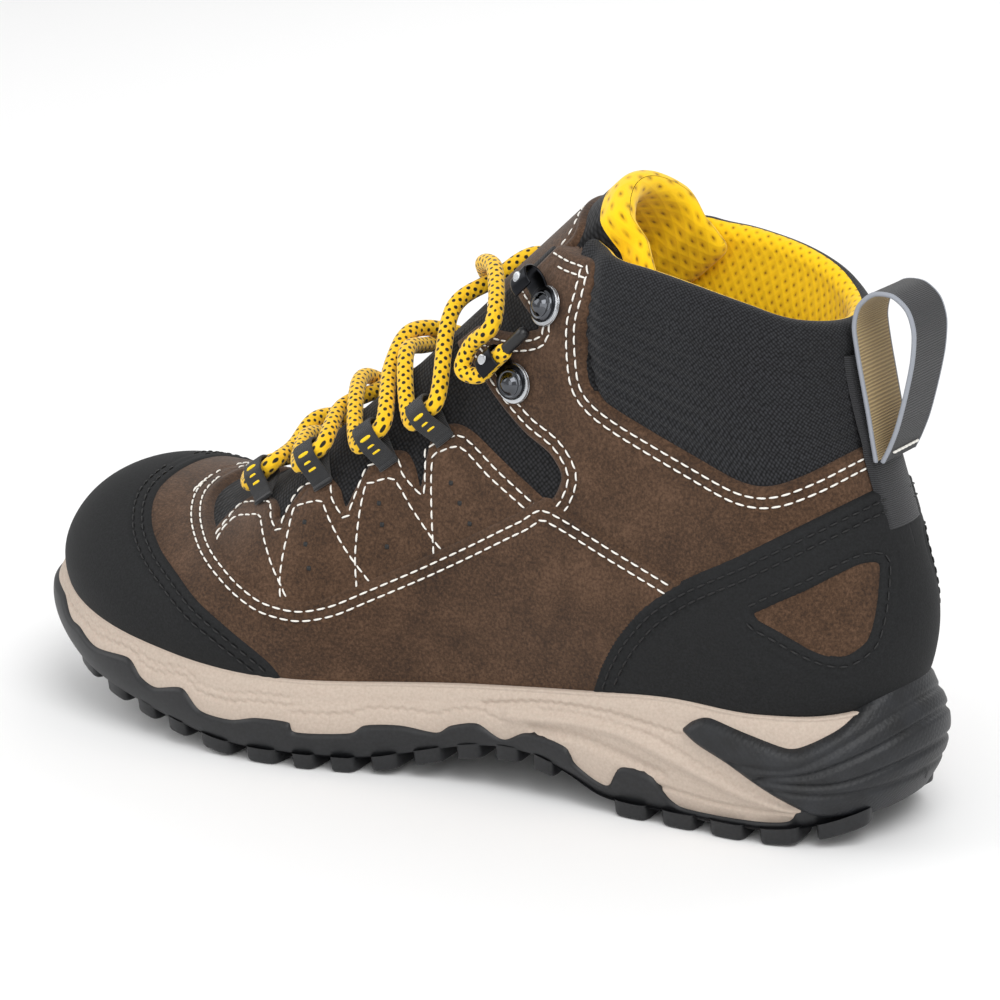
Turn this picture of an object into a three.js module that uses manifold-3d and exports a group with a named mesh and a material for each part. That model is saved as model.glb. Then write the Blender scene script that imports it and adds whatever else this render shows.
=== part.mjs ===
import * as THREE from 'three';
import { ParametricGeometry } from 'three/addons/geometries/ParametricGeometry.js';
import { mergeVertices } from 'three/addons/utils/BufferGeometryUtils.js';
import Module from 'manifold-3d';

// Left mid-cut walking boot, EU 42. Millimetres, toe +X, outer side +Y, up +Z, floor z = 0.
const toeTip = 149, noseStart = 84;          // upper's toe point, where the toe starts to round
const overlayIn = 1.6, baseOut = 2.1, baseIn = 3.1;   // depths of the layers below the skin
const padOut = 3.6, padIn = 6.6, liningOut = 7.05, liningIn = 8.1;
const tongueFaceIn = 4.0, foamOut = 4.35, foamIn = 7.5, tongueIn = 8.4;
const seam = 0.3, laceDiameter = 5, strapWidth = 21;
const lugDepth = 4.6, laceSides = 6;
const ringSteps = 7, footRings = 12, rearRings = 10, fanSteps = footRings + rearRings;

const wasm = await Module();
wasm.setup();
const { Manifold, Mesh: SolidMesh } = wasm;
const { abs, max, min, sqrt, sin, cos, PI, hypot } = Math;
const clamp = (v) => min(1, max(0, v));
const ease = (a, b, v) => { const t = clamp((v - a) / (b - a)); return t * t * (3 - 2 * t); };

// Smooth curve through a few stations, level beyond its ends.
function through(stations) {
  const p = [...stations].sort((a, b) => a[0] - b[0]);
  const h = p.slice(1).map((q, i) => q[0] - p[i][0]);
  const d = p.slice(1).map((q, i) => (q[1] - p[i][1]) / h[i]);
  const slope = p.map((q, i) => i === 0 ? d[0] : i === p.length - 1 ? d[i - 1]
    : (d[i - 1] * h[i] + d[i] * h[i - 1]) / (h[i - 1] + h[i]));
  return (v) => {
    const x = min(p[p.length - 1][0], max(p[0][0], v));
    let i = 0;
    while (i < h.length - 1 && x > p[i + 1][0]) i += 1;
    const t = (x - p[i][0]) / h[i];
    return p[i][1] * (1 + 2 * t) * (1 - t) ** 2 + slope[i] * h[i] * t * (1 - t) ** 2
      + p[i + 1][1] * t * t * (3 - 2 * t) + slope[i + 1] * h[i] * t * t * (t - 1);
  };
}

// Side-view and width curves of the last.
const feather = through([[-152, 44], [-143, 40.5], [-118, 38.3], [-88, 38.8], [-58, 35.5],
  [-23, 31.5], [17, 28], [52, 27.5], [82, 30], [107, 33.3], [127, 37], [149, 43]]);
const outerWidth = through([[-158, 34], [-108, 34], [-68, 33], [-33, 34], [2, 40], [37, 49],
  [66, 51.5], [92, 50], [149, 46]]);
const innerWidth = through([[-158, 32], [-108, 32], [-68, 30], [-33, 30], [2, 35], [37, 43],
  [62, 46], [92, 46], [149, 44]]);
const instep = through([[149, 76], [120, 75], [103, 73.5], [88, 73], [76, 75.5], [64, 82],
  [44, 98.5], [12, 128.5], [-18, 156.5], [-54, 190], [-88, 222]]);
const back = through([[36, -145], [44, -149.5], [54, -152], [64, -152.3], [80, -149],
  [95, -144.5], [110, -139.5], [125, -134.5], [140, -131], [155, -130.5], [175, -132]]);
const shaft = through([[30, 33.5], [40, 34.5], [60, 37], [85, 36], [110, 34], [135, 35.5],
  [150, 36.5], [175, 36], [200, 34]]);
const treadCurve = through([[156, 25], [135, 18.5], [121, 14], [107, 10.5], [93, 7.5], [82, 5],
  [70, 2.6], [60, 0.8], [52, 0], [16, 0], [8, 1.2], [-7, 5], [-21, 8.6], [-35, 10.2],
  [-45, 9.2], [-56, 5.4], [-66, 1], [-74, 0], [-120, 0], [-132, 1.6], [-142, 4.6],
  [-152, 9.5], [-160, 16]]);
const tread = (x) => max(0, treadCurve(x));
const middleShift = -1.055, lengthShift = 1.33;    // these centre the boot's box on the origin
const middle = (x) => middleShift - 9 * max(0, (x - 40) / 100) ** 2;
const frontLine = Array.from({ length: 46 }, (v, i) => 92 - 4 * i).map((x) => [x, instep(x)]);

// Height of the top line and half-width of the foot, k mm below the outer skin.
function top(x, k) {
  const n = clamp((x - noseStart) / (toeTip - k - noseStart));
  const steep = (instep(x + 1) - instep(x - 1)) / 2;
  const crown = instep(x) - k * sqrt(1 + steep * steep);
  return feather(x) + (crown - feather(x)) * clamp(1 - n ** 3) ** (1 / 2.1);
}
function fromFront(x, z) {
  let best = 1e9;
  if (z > instep(x)) return 0;
  for (let i = 0; i < frontLine.length - 1; i += 1) {
    const [ax, az] = frontLine[i], [bx, bz] = frontLine[i + 1];
    const t = clamp(((x - ax) * (bx - ax) + (z - az) * (bz - az)) / hypot(bx - ax, bz - az) ** 2);
    best = min(best, hypot(x - ax - t * (bx - ax), z - az - t * (bz - az)));
  }
  return best;
}
function halfWidth(x, z, side, k) {
  const rise = clamp((z - feather(x)) / max(1e-6, top(x, k) - feather(x)));
  const n = clamp((x - noseStart) / (toeTip - k - noseStart));
  const plan = ((side > 0 ? outerWidth : innerWidth)(x) - k) * sqrt(clamp(1 - n ** 2.6));
  const foot = plan * sqrt(clamp(1 - rise ** 2.6)) * (1 + 0.45 * rise * (1 - rise) ** 2);
  const rear = clamp((x - back(z) - k) / 44), front = clamp((fromFront(x, z) - k) / 40);
  const leg = (shaft(z) * (side > 0 ? 1 : 0.97) - k)
    * sqrt(clamp(1 - (1 - rear) ** 2.3)) * sqrt(clamp(1 - (1 - front) ** 2.2));
  const mix = ease(-68, 37, x);
  return leg * (1 - mix) + foot * mix;
}

// Fan of cutting lines: from the sole line and heel (first) to the instep line (second).
const footStations = [[149, 149], [145, 145], [134, 134], [116, 116], [94, 95], [70, 75], [46, 59],
  [20, 46], [-8, 34], [-38, 20], [-68, 6], [-100, -7], [-128, -16]];
const rearStations = [[0, -22], [8, -27], [18, -32], [34, -39], [54, -47], [78, -57], [102, -68],
  [124, -80]];
function cutLine(i, k) {
  const low = 3 + k;
  if (i <= footRings) {
    const v = i / footRings * (footStations.length - 1);
    const t = through(footStations.map((s, i) => [i, s[0]]))(v);
    const head = through(footStations.map((s, i) => [i, s[1]]))(v);
    const nose = 149 - toeTip + k;
    const x = min(t, 149 - nose), hx = min(head, 149 - nose);
    const xr = x > -128 + 1e-6 ? x : -128;
    return { foot: [xr, feather(xr) - low], head: [hx, top(hx, k)], round: ease(-60, -128, x) };
  }
  const r = i - footRings, v = r < 3 ? r / 3 : r - 2;
  const heel = [[-128, 0]].concat(rearStations.map((s, i) => [i, s[0]]));
  const hx = through([[0, -16]].concat(rearStations.map((s, i) => [i + 1, s[1]])))(v);
  let foot;
  if (v < 1) {
    const corner = back(44 - low) + k;
    const x = -128 + (corner + 128) * sin(v * PI / 2);
    foot = [x, feather(x) - low];
  } else {
    const rise = through(heel.slice(1))(v - 1);
    const z = feather(-152 + k) - low + rise * (1 + low / 124);
    foot = [back(z) + k, z];
  }
  return { foot, head: [hx, top(hx, k)], round: 1 };
}
function skinPoint(i, j, k, target) {
  const line = cutLine(min(fanSteps, i), k);
  const side = j <= ringSteps || j === 2 * ringSteps + 1 ? 1 : -1;
  const t = j === 2 * ringSteps + 1 ? 0 : (side > 0 ? j : 2 * ringSteps - j) / ringSteps;
  const even = sin(t * PI / 2), both = (1 - cos(t * PI)) / 2;
  const q = even + (both - even) * line.round;
  const x = line.foot[0] + (line.head[0] - line.foot[0]) * q;
  const z = line.foot[1] + (line.head[1] - line.foot[1]) * q;
  const wide = i > fanSteps || i === 0 ? 0 : halfWidth(x, z, side, k);
  target.set(x, middle(x) + side * (t > 0.9999 ? 0 : wide), z);
}

// Joining and cutting helpers.
function solid(geometry) {
  const g = geometry.clone();
  g.deleteAttribute('normal');
  g.deleteAttribute('uv');
  const m = mergeVertices(g, 1e-5), index = [];
  for (let i = 0; i < m.index.count; i += 3) {
    const [a, b, c] = [0, 1, 2].map((n) => m.index.getX(i + n));
    if (a !== b && b !== c && a !== c) index.push(a, b, c);
  }
  const build = (order) => {
    const mesh = new SolidMesh({ numProp: 3, triVerts: new Uint32Array(order),
      vertProperties: new Float32Array(m.attributes.position.array) });
    mesh.merge();
    return new Manifold(mesh);
  };
  const made = build(index);
  return made.volume() < 0 ? build(index.reverse()) : made;
}
const cutFrom = (a, ...others) => others.reduce((s, o) => s.subtract(o), a);
const both = (a, b) => a.intersect(b);
function skin(k) {
  const flip = new ParametricGeometry((u, v, target) => skinPoint(Math.round(v * (fanSteps + 1)),
    Math.round(u * (2 * ringSteps + 1)), k, target), 2 * ringSteps + 1, fanSteps + 1);
  return solid(flip);
}
const outline = (points) => new THREE.Shape(points.map(([a, b]) => new THREE.Vector2(a, b)));
function prism(points, depth, basis, start = 0, hole = null) {
  const shape = outline(points);
  if (hole) shape.holes.push(outline(hole));
  const g = new THREE.ExtrudeGeometry(shape, { depth, bevelEnabled: false, curveSegments: 8 });
  g.translate(0, 0, start);
  g.applyMatrix4(basis);
  return solid(g);
}
const basisOf = (a, b, c, o = [0, 0, 0]) => new THREE.Matrix4()
  .makeBasis(new THREE.Vector3(...a), new THREE.Vector3(...b), new THREE.Vector3(...c))
  .setPosition(...o);
const sideView = basisOf([1, 0, 0], [0, 0, 1], [0, -1, 0]);
const fromSide = (points, y0 = -90, y1 = 90) => prism(points, y1 - y0, sideView, -y1);
const fromAbove = (points, z0, z1) => prism(points, z1 - z0, new THREE.Matrix4(), z0);
const along = [-0.7377, 0, 0.6752], inward = [-0.6752, 0, -0.7377];
const throatView = basisOf(along, [0, 1, 0], inward, [64, middleShift, 82]);
const fromFrontView = (points, n0, n1) => prism(points, n1 - n0, throatView, -n1);
const block = (x0, x1, y0, y1, z0, z1) => fromAbove([[x0, y0], [x1, y0], [x1, y1], [x0, y1]], z0, z1);
const sideHalf = (side, gap = 0) => side > 0 ? block(-300, 300, middleShift + gap, 100, -50, 300)
  : block(-300, 300, -100, middleShift - gap, -50, 300);

const group = new THREE.Group();
group.name = 'mountaineering_boot';
const looks = {
  suede: ['#6b5340', 0.9, 0], microfibre: ['#222326', 0.75, 0], rubber: ['#232427', 0.7, 0],
  foam: ['#c6b6a2', 0.8, 0], mesh: ['#1d1d1f', 0.95, 0], rib: ['#232326', 0.9, 0],
  yellow: ['#f0c814', 0.85, 0], padding: ['#4b4b4b', 0.95, 0], board: ['#b9b09c', 0.9, 0],
  steel: ['#3a3b3e', 0.3, 0.9], plain: ['#c9ccd0', 0.3, 1], lace: ['#e8c01a', 0.8, 0],
  webbing: ['#1c1c1c', 0.85, 0], plastic: ['#141414', 0.4, 0], twill: ['#25262a', 0.85, 0],
};
function add(name, body, look, coarse = 0.04) {
  const parts = body.decompose().sort((a, b) => abs(b.volume()) - abs(a.volume()));
  const mesh = parts[0].translate([lengthShift, 0, 0]).simplify(coarse).getMesh();
  const g = new THREE.BufferGeometry();
  g.setAttribute('position', new THREE.BufferAttribute(Float32Array.from(mesh.vertProperties), 3));
  g.setIndex(Array.from(mesh.triVerts));
  g.computeVertexNormals();
  const [colour, roughness, metalness] = looks[look];
  const item = new THREE.Mesh(g, new THREE.MeshStandardMaterial({ color: colour, roughness, metalness }));
  item.name = name;
  group.add(item);
}

// ---------- upper layers ----------
const S = (k) => skin(k);
const skin0 = S(0), skinOverlay = S(overlayIn), skinBaseOut = S(baseOut), skinBaseIn = S(baseIn);
const skinPadOut = S(padOut), skinPadIn = S(padIn), skinLinOut = S(liningOut), skinLinIn = S(liningIn);
const band = (fn, x0, x1, dz, step = 11) => {
  const n = Math.round(abs(x1 - x0) / step);
  return Array.from({ length: n + 1 }, (v, i) => x0 + (x1 - x0) * i / n).map((x) => [x, fn(x) + dz]);
};
const between = (low, dLow, high, dHigh) => fromSide([...band(low, -165, 165, dLow),
  ...band(high, 165, -165, dHigh)]);
const aboveSole = fromSide([...band(feather, -165, 165, 0.15), [165, 300], [-165, 300]]);
const shell = (a, b) => both(a.subtract(b), aboveSole);
const overlayShell = shell(skin0, skinOverlay), baseShell = shell(skinBaseOut, skinBaseIn);
const padShell = shell(skinPadOut, skinPadIn), liningShell = shell(skinLinOut, skinLinIn);
const fullShell = shell(skin0, skinBaseIn);
const footLine = (x0, x1) => [[x0, 16], [x1, 16]];
const randTop = [[104.5, 95], [105, 70], [97, 63], [88, 58], [76, 53], [66, 48], [57, 43.5], [48, 38],
  [41, 32.5], [37, 28], [36.9, 20]];
const counterTop = [[-62, 36], [-66, 46], [-72, 56], [-81, 66.5], [-93, 75.5], [-110, 85],
  [-129, 96.5], [-142, 104], [-170, 116]];
const windowEdge = [[-116, 70], [-130, 78], [-142, 85], [-145, 79], [-146, 70], [-145, 62], [-141, 58],
  [-133, 60.5], [-123, 66]];
const uEdge = [[-93, 75.5], [-72, 83.5], [-47, 92.5], [-36, 87.3], [-19, 77.4], [-3, 68.5], [13, 60.2],
  [23, 55.2], [32, 53], [42, 54], [50, 57], [58, 60.5], [66, 63.5], [73, 66], [80, 68.5], [87, 72],
  [90, 95]];
const waves = [[73, 66.6], [70, 72], [65, 76], [58, 78.3], [51, 79], [47, 77.6], [44.5, 75.3], [41, 82],
  [37, 88], [31, 89.5], [25, 87], [21, 82], [18.5, 89], [15, 96], [11, 99.4], [4, 100], [0, 96],
  [-3, 90], [-4, 102], [-6, 108], [-12, 110.5], [-19, 109], [-31, 101.2], [-43.5, 93.4]];
const collarLow = [[-61.5, 124.4], [-71, 121], [-83, 116], [-96, 111], [-108, 106.6], [-115, 105.6],
  [-121, 106.8], [-129, 110.6], [-137, 115.5], [-160, 126]];
const collarTop = [[-160, 141], [-140, 143.6], [-129, 147], [-121, 149.2], [-110, 153.6], [-98, 157.2],
  [-78, 161.4], [-67, 163.2], [-60.6, 165.4]];
const shift = (points, dx, dz) => points.map(([x, z]) => [x + dx, z + dz]);
const throat = (w, low) => {
  const half = [[low, 0], [low + 2, w * 0.55], [low + 8, w * 0.86], [low + 18, w], [60, w + 0.6],
    [95, w + 2.5], [190, w + 4.5]];
  return half.concat([...half].reverse().map(([s, y]) => [s, -y]).slice(0, -1));
};
const throatCut = fromFrontView(throat(19, -9), -12, 60);
const footBox = (x0, x1, z0, z1) => [[x0, z0], [x1, z0], [x1, z1], [x0, z1]];

// Toe rand, vamp with quarter, wave panels, ankle quarters, heel cover, window patches.
const randShape = [...randTop, ...footLine(36.9, 148), [175, 16], [175, 95]];
add('toe_rand', both(overlayShell, fromSide(randShape)), 'microfibre');
const vampShape = [...shift(randTop, -seam, 0), ...footLine(36.6, -61.6),
  ...shift(counterTop.slice(0, 5), seam, 0), ...shift(uEdge.slice(1), 0, -seam / 2)];
add('vamp', both(overlayShell, fromSide(vampShape)), 'suede');
const waveShape = [...waves, ...shift(uEdge.slice(2, 14), 0, seam * 0.8)];
const quarterShape = [[-18, 128], [-27, 120.5], [-37, 112.2], [-46, 107], [-50.5, 101], [-49, 95],
  ...shift([[-47.6, 92.6], [-72, 83.5], [-92, 76]], 0, seam), ...shift(counterTop.slice(5), 0, seam * 1.2),
  ...shift(collarLow, 0, -seam).reverse(), [-58.6, 129], [-58.3, 146], [-60.3, 156], [-60.4, 165.2],
  [-36, 170], [-20, 178], [-12, 166], [-31, 150], [-42, 143], [-29, 140], [-12, 136]];
const strapZone = fromAbove([[-200, middleShift - 11.3], [-90, middleShift - 11.3],
  [-90, middleShift + 11.3], [-200, middleShift + 11.3]], 98, 190);
for (const side of [1, -1]) {
  const word = side > 0 ? 'lateral' : 'medial';
  add(`side_panel_${word}`, cutFrom(both(both(overlayShell, fromSide(waveShape)), sideHalf(side)),
    throatCut), 'suede');
  add(`ankle_quarter_${word}`, cutFrom(both(both(overlayShell, fromSide(quarterShape)),
    sideHalf(side)), throatCut, strapZone), 'suede');
}
const counterShape = [...counterTop, [-170, 16], [-62, 16]];
const windowHole = (y0, y1, grow) => {
  const c = [-136, 71];
  return fromSide(windowEdge.map(([x, z]) => [x + (x - c[0]) * grow, z + (z - c[1]) * grow]), y0, y1);
};
add('heel_counter_cover', cutFrom(both(shell(skin0, S(1.1)), fromSide(counterShape)), windowHole(6, 90, 0),
  windowHole(-90, -11, 0), strapZone), 'microfibre');
const patchShell = S(0.5).subtract(skinOverlay);
add('window_patch_lateral', both(patchShell, windowHole(6.4, 90, -0.035)), 'suede');
add('window_patch_medial', both(patchShell, windowHole(-90, -11.4, -0.035)), 'suede');
add('back_strap', both(both(skin0.subtract(S(1.5)), fromSide([...shift(collarTop.slice(0, 3), 0, -0.2),
  [-110, 150], [-110, 98.2], [-160, 98.2]])),
  block(-200, -90, middleShift - 11, middleShift + 11, 90, 190)), 'webbing');

// Base layer.
add('toe_puff', both(baseShell, fromSide([...footLine(97, 148), [175, 16], [175, 95],
  [97, 95]])), 'board');
add('mesh_underlay', cutFrom(both(baseShell, fromSide([...footLine(-64, 96.7), [96.7, 95],
  [40, 140], [-20, 182], [-60, 165.2], [-60, 156], [-58, 146], [-58, 129], [-61, 124.3],
  [-64, 123]])), throatCut), 'mesh', 0.07);
add('heel_stiffener', both(shell(S(2.35), skinBaseIn), fromSide([[-120, 43], [-64.3, 41], [-64.3, 122.8],
  ...shift(collarLow.slice(1), 0, -seam), [-170, 48]])), 'board');
const collarShape = [[-58.9, 129], [-58.6, 146], [-60.6, 156], ...[...collarTop].reverse(),
  ...[...collarLow].reverse()];
const strapCut = strapZone.subtract(S(1.85));
for (const side of [1, -1]) {
  const word = side > 0 ? 'lateral' : 'medial';
  add(`collar_panel_${word}`, cutFrom(both(both(fullShell, fromSide(collarShape)),
    sideHalf(side, 0.15)), strapCut), 'rib');
}

// Padding that gives the upper its solid wall, and the linings inside it.
const tongueHalf = (w, open = 0) => {
  const half = [[-30 - open, 0], [-29 - open, w * 0.7], [-24 - open, w * 0.88], [0, w], [60, w],
    [112, w + 0.6], [122, w + 1.2], [134, w + 2], [150, w + 2.4],
    ...(open ? [[190, w + 2.8]] : [[158, w + 1], [161, w - 6]])];
  return half.concat([...half].reverse().map(([s, y]) => [s, -y]).slice(0, -1));
};
const tongueGap = fromFrontView(tongueHalf(21.5, 0.7), -40, 60);
add('padding_toe', cutFrom(both(padShell, fromSide([...footLine(60.2, 148), [175, 16], [175, 95],
  [60.2, 95]])), tongueGap), 'padding');
const rearTop = [...collarTop];
for (const side of [1, -1]) {
  const word = side > 0 ? 'lateral' : 'medial';
  add(`padding_side_${word}`, cutFrom(both(both(padShell, fromSide([...footLine(-60, 59.8),
    [59.8, 110], [-10, 180], [-36, 170], [-60, 165.2]])), sideHalf(side, 0.15)), tongueGap), 'padding');
  add(`padding_collar_${word}`, cutFrom(both(both(padShell, fromSide([[-60.4, 104.2], [-60.4, 165.2],
    ...[...rearTop].reverse(), [-160, 104.2]])), sideHalf(side, 0.15)), tongueGap), 'padding');
}
add('padding_heel', both(padShell, fromSide([...footLine(-150, -60.4), [-60.4, 103.8], [-170, 103.8],
  [-170, 16]])), 'padding');
add('foot_lining', cutFrom(both(liningShell, fromSide([...footLine(-50, 148), [175, 16], [175, 95],
  [60, 120], [-10, 180], [-36, 170], [-50, 166.9]])), tongueGap), 'mesh', 0.08);
add('collar_lining', cutFrom(both(liningShell, fromSide([...footLine(-150, -50.3), [-50.3, 166.8],
  [-60.4, 165.2], ...[...rearTop].reverse(), [-170, 140], [-170, 16]])), tongueGap), 'yellow', 0.08);

// Tongue: face, foam and lining, with a suede patch near the top.
const tongueBand = (dz) => fromSide([[100, 50], [100, 95], [-20, 200], [-60, 186 + dz],
  [-66, 158], [-40, 150], [0, 100], [40, 62], [84, 45]]);
const tongueCore = both(fromFrontView(tongueHalf(20.9), -22, 22), tongueBand(0));
add('tongue_face', both(skinPadOut.subtract(S(tongueFaceIn)), tongueCore), 'mesh', 0.06);
add('tongue_foam', both(S(foamOut).subtract(S(foamIn)), tongueCore), 'padding', 0.06);
add('tongue_lining', both(S(foamIn + 0.35).subtract(S(tongueIn)), tongueCore), 'yellow', 0.06);
add('tongue_patch', both(both(S(2).subtract(skinBaseIn),
  fromFrontView([[116, -17], [136, -17], [141, -12], [143, 0], [141, 12], [136, 17], [116, 17]],
    -12, 30)), tongueBand(0)), 'suede');

// ---------- sole ----------
const planSteps = 46, levels = 4;
const plateTop = through([[160, 42], [138, 38], [123, 31], [111, 26], [98, 23.5], [86, 19], [70, 16.5],
  [52, 13.6], [20, 13], [0, 15.5], [-22, 18.6], [-42, 18.5], [-56, 14.5], [-68, 9.6], [-90, 8.2],
  [-126, 8.4], [-140, 12], [-160, 22]]);
function soleWidth(x, side) {
  const n = clamp((x - noseStart) / (toeTip - noseStart));
  const m = clamp((back(44) + 46 - x) / 46);
  const mix = ease(-68, 37, x);
  const w = (side > 0 ? outerWidth : innerWidth)(x) * mix + shaft(42) * (1 - mix);
  return w * sqrt(clamp(1 - n ** 2.6)) * sqrt(clamp(1 - m ** 2.3));
}
const flareShape = through([[-1, -3], [0, -0.5], [0.25, 0.55], [0.55, 1], [0.85, 0.7], [1, 0.25],
  [2.4, 0.7]]);
function planPoint(turn, t, extra) {
  const mid = (toeTip + back(44)) / 2, long = (toeTip - back(44)) / 2;
  const at = (a) => {
    const x = mid + long * cos(a), side = sin(a) >= 0 ? 1 : -1;
    return [x, middle(x) + side * soleWidth(x, side)];
  };
  const a = turn * 2 * PI, e = 0.02;
  const p = at(a), q = at(a - e), r = at(a + e);
  const len = hypot(r[0] - q[0], r[1] - q[1]);
  const grow = (4.2 + 2 * (abs(p[0]) / 150) ** 6) * flareShape(t) + extra;
  return [p[0] + (r[1] - q[1]) / len * grow, p[1] - (r[0] - q[0]) / len * grow, p[0]];
}
function sole(extra, t0, t1, low = 0) {
  return solid(new ParametricGeometry((u, v, target) => {
    const row = Math.round(v * (levels + 2)), turn = Math.round(u * planSteps) % planSteps / planSteps;
    const t = t0 + (t1 - t0) * clamp((row - 1) / levels);
    const [x, y, xs] = planPoint(turn, t, extra);
    const cap = row === 0 || row === levels + 2;
    const z0 = tread(cap ? xs : x) - low, z1 = feather(xs) - 0.15;
    target.set(cap ? xs : x, cap ? middle(xs) : y, z0 + (z1 - z0) * t);
  }, planSteps, levels + 2));
}
const soleBody = sole(0, 0, 1.06);
const shankShape = [[30, -7], [-80, -9], [-80, 9], [30, 7]].map(([x, y]) => [x, y + middleShift]);
const grow = (points, d) => points.map(([x, y]) => [x + Math.sign(x + 25) * d,
  y + Math.sign(y - middleShift) * d]);
const shankSlot = both(fromAbove(grow(shankShape, 0.4), 0, 80), between(feather, -2.9, feather, 12));
add('midsole', cutFrom(both(soleBody, between(plateTop, 0.15, feather, -0.15)), shankSlot), 'foam', 0.08);
add('shank', both(fromAbove(shankShape, 0, 80), between(feather, -2.6, feather, -0.6)), 'plain');

// Outsole: a plate with blocks all round, chevrons down the middle and a heel breast.
const plate = both(soleBody, between(tread, lugDepth, plateTop, -0.15));
const blocks = [];
const gaps = [152, 130, 113, 98, 85, 72, 55, 39, 27, 15, 2, -12, -25, -38, -50];
const heelGaps = [-66, -82, -98, -114, -130, -146];
function rimBlocks(list, depth) {
  for (let i = 0; i < list.length - 1; i += 1) {
    for (const side of [1, -1]) {
      const a = list[i] - 1.7, b = list[i + 1] + 1.7, y0 = middle((a + b) / 2) + side * depth;
      blocks.push(fromAbove([[a, y0], [b, y0], [b - 3, y0 + side * 50], [a - 3, y0 + side * 50]]
        .map(([x, y]) => [x, y]), -5, 45));
    }
  }
}
rimBlocks(gaps, 26);
rimBlocks(heelGaps, 20);
for (const x of [116, 92, 68, 44, 20]) {
  const w = x > 100 ? 13 : 20, c = middle(x);
  blocks.push(fromAbove([[x + 9, c], [x + 1, c + w], [x - 9, c + w], [x - 1, c], [x - 9, c - w],
    [x + 1, c - w]], -5, 45));
}
for (const x of [-80, -104]) {
  const c = middleShift;
  blocks.push(fromAbove([[x + 8, c - 14], [x + 8, c + 14], [x - 7, c + 11], [x - 7, c - 11]], -5, 45));
}
const lugs = both(blocks.reduce((s, b) => s.add(b)), both(soleBody,
  between(tread, -1, tread, lugDepth + 0.5)));
add('outsole', plate.add(lugs), 'rubber', 0.15);

// Cup round the heel, with an arm that points forward on each side.
const cupShape = [[-95, 31.5], [-103, 36.5], [-127, 29.5], [-133, 31], [-142, 38.5], [-146, 45],
  [-152, 50.5], [-170, 52], [-170, 24], [-152, 20], [-136, 15.6], [-124, 19.5], [-111, 24.5]];
add('heel_stabiliser', cutFrom(both(sole(2.4, 0, 1.5), fromSide(cupShape)), sole(0.45, 0, 1.06),
  S(-0.4), block(-300, -50, -90, 90, 52, 300)), 'rubber');

// Boards under the foot.
const inside = S(liningIn + 0.35), insideBed = S(liningIn + 1);
add('lasting_board', both(inside, between(feather, 0.2, feather, 1.7)), 'board', 0.1);
add('footbed', both(insideBed, between(feather, 2.1, feather, 6.2)), 'padding', 0.1);

// ---------- lacing ----------
const spot = (s, y, n) => new THREE.Vector3(64 + along[0] * s - inward[0] * n, middleShift + y,
  82 + along[2] * s - inward[2] * n);
function tube(points, radius, sides, steps) {
  const path = new THREE.CatmullRomCurve3(points, false, 'centripetal');
  const ring = new THREE.Shape(Array.from({ length: sides }, (v, i) => new THREE.Vector2(
    radius * cos(i * 2 * PI / sides), radius * sin(i * 2 * PI / sides))));
  return solid(new THREE.ExtrudeGeometry(ring, { steps, extrudePath: path, bevelEnabled: false }));
}
// A flat strip along a side profile: list of centre points, given thickness and width.
function strip(points, thick, width, basis) {
  const left = [], right = [];
  points.forEach((p, i) => {
    const a = points[max(0, i - 1)], b = points[min(points.length - 1, i + 1)];
    const len = hypot(b[0] - a[0], b[1] - a[1]);
    const nx = (b[1] - a[1]) / len * thick / 2, ny = -(b[0] - a[0]) / len * thick / 2;
    left.push([p[0] + nx, p[1] + ny]);
    right.unshift([p[0] - nx, p[1] - ny]);
  });
  return prism([...left, ...right], width, basis, -width / 2);
}
// Frame standing on the skin at a side-view point: u towards the centre line, n outward.
function seat(x, z, side, turn = 0) {
  const at = (px, pz) => new THREE.Vector3(px, middle(px) + side * halfWidth(px, pz, side, 0), pz);
  const p = at(x, z), a = at(x + 1, z).sub(p), b = at(x, z + 1).sub(p);
  const n = a.cross(b).normalize();
  if (n.y * side < 0) n.negate();
  const s = new THREE.Vector3(...along);
  s.addScaledVector(n, -s.dot(n)).normalize();
  const u = new THREE.Vector3().crossVectors(s, n).normalize().multiplyScalar(1);
  if (u.y * side > 0) u.negate();
  u.applyAxisAngle(n, turn * side);
  const w = new THREE.Vector3().crossVectors(u, n);
  return { p, u, n, s, basis: new THREE.Matrix4().makeBasis(u, n, w).setPosition(p) };
}
const loopSeats = [[55, 78.6], [31, 88.4], [9.5, 97.6], [-9, 107.5]];
const loopEye = 7.5;
const held = {};
loopSeats.forEach(([x, z], i) => {
  for (const side of [1, -1]) {
    const f = seat(x, z, side), arc = [];
    for (let a = 0; a <= 6; a += 1) {
      const t = -PI / 2 + PI * a / 6;
      arc.push([loopEye + 4 * cos(t), 4.2 + 4 * sin(t)]);
    }
    const profile = [[-3, 1.1], [2, 0.9], ...arc, [3, 7.2], [-1, 3.9], [-4, 2.5]];
    add(`lace_loop_${side > 0 ? 'lateral' : 'medial'}_${i + 1}`,
      strip(profile, 1, 6.5, f.basis), 'webbing');
    held[`${side}_${i}`] = f.p.clone().addScaledVector(f.u, loopEye - 0.3).addScaledVector(f.n, 4.2);
  }
});

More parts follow.
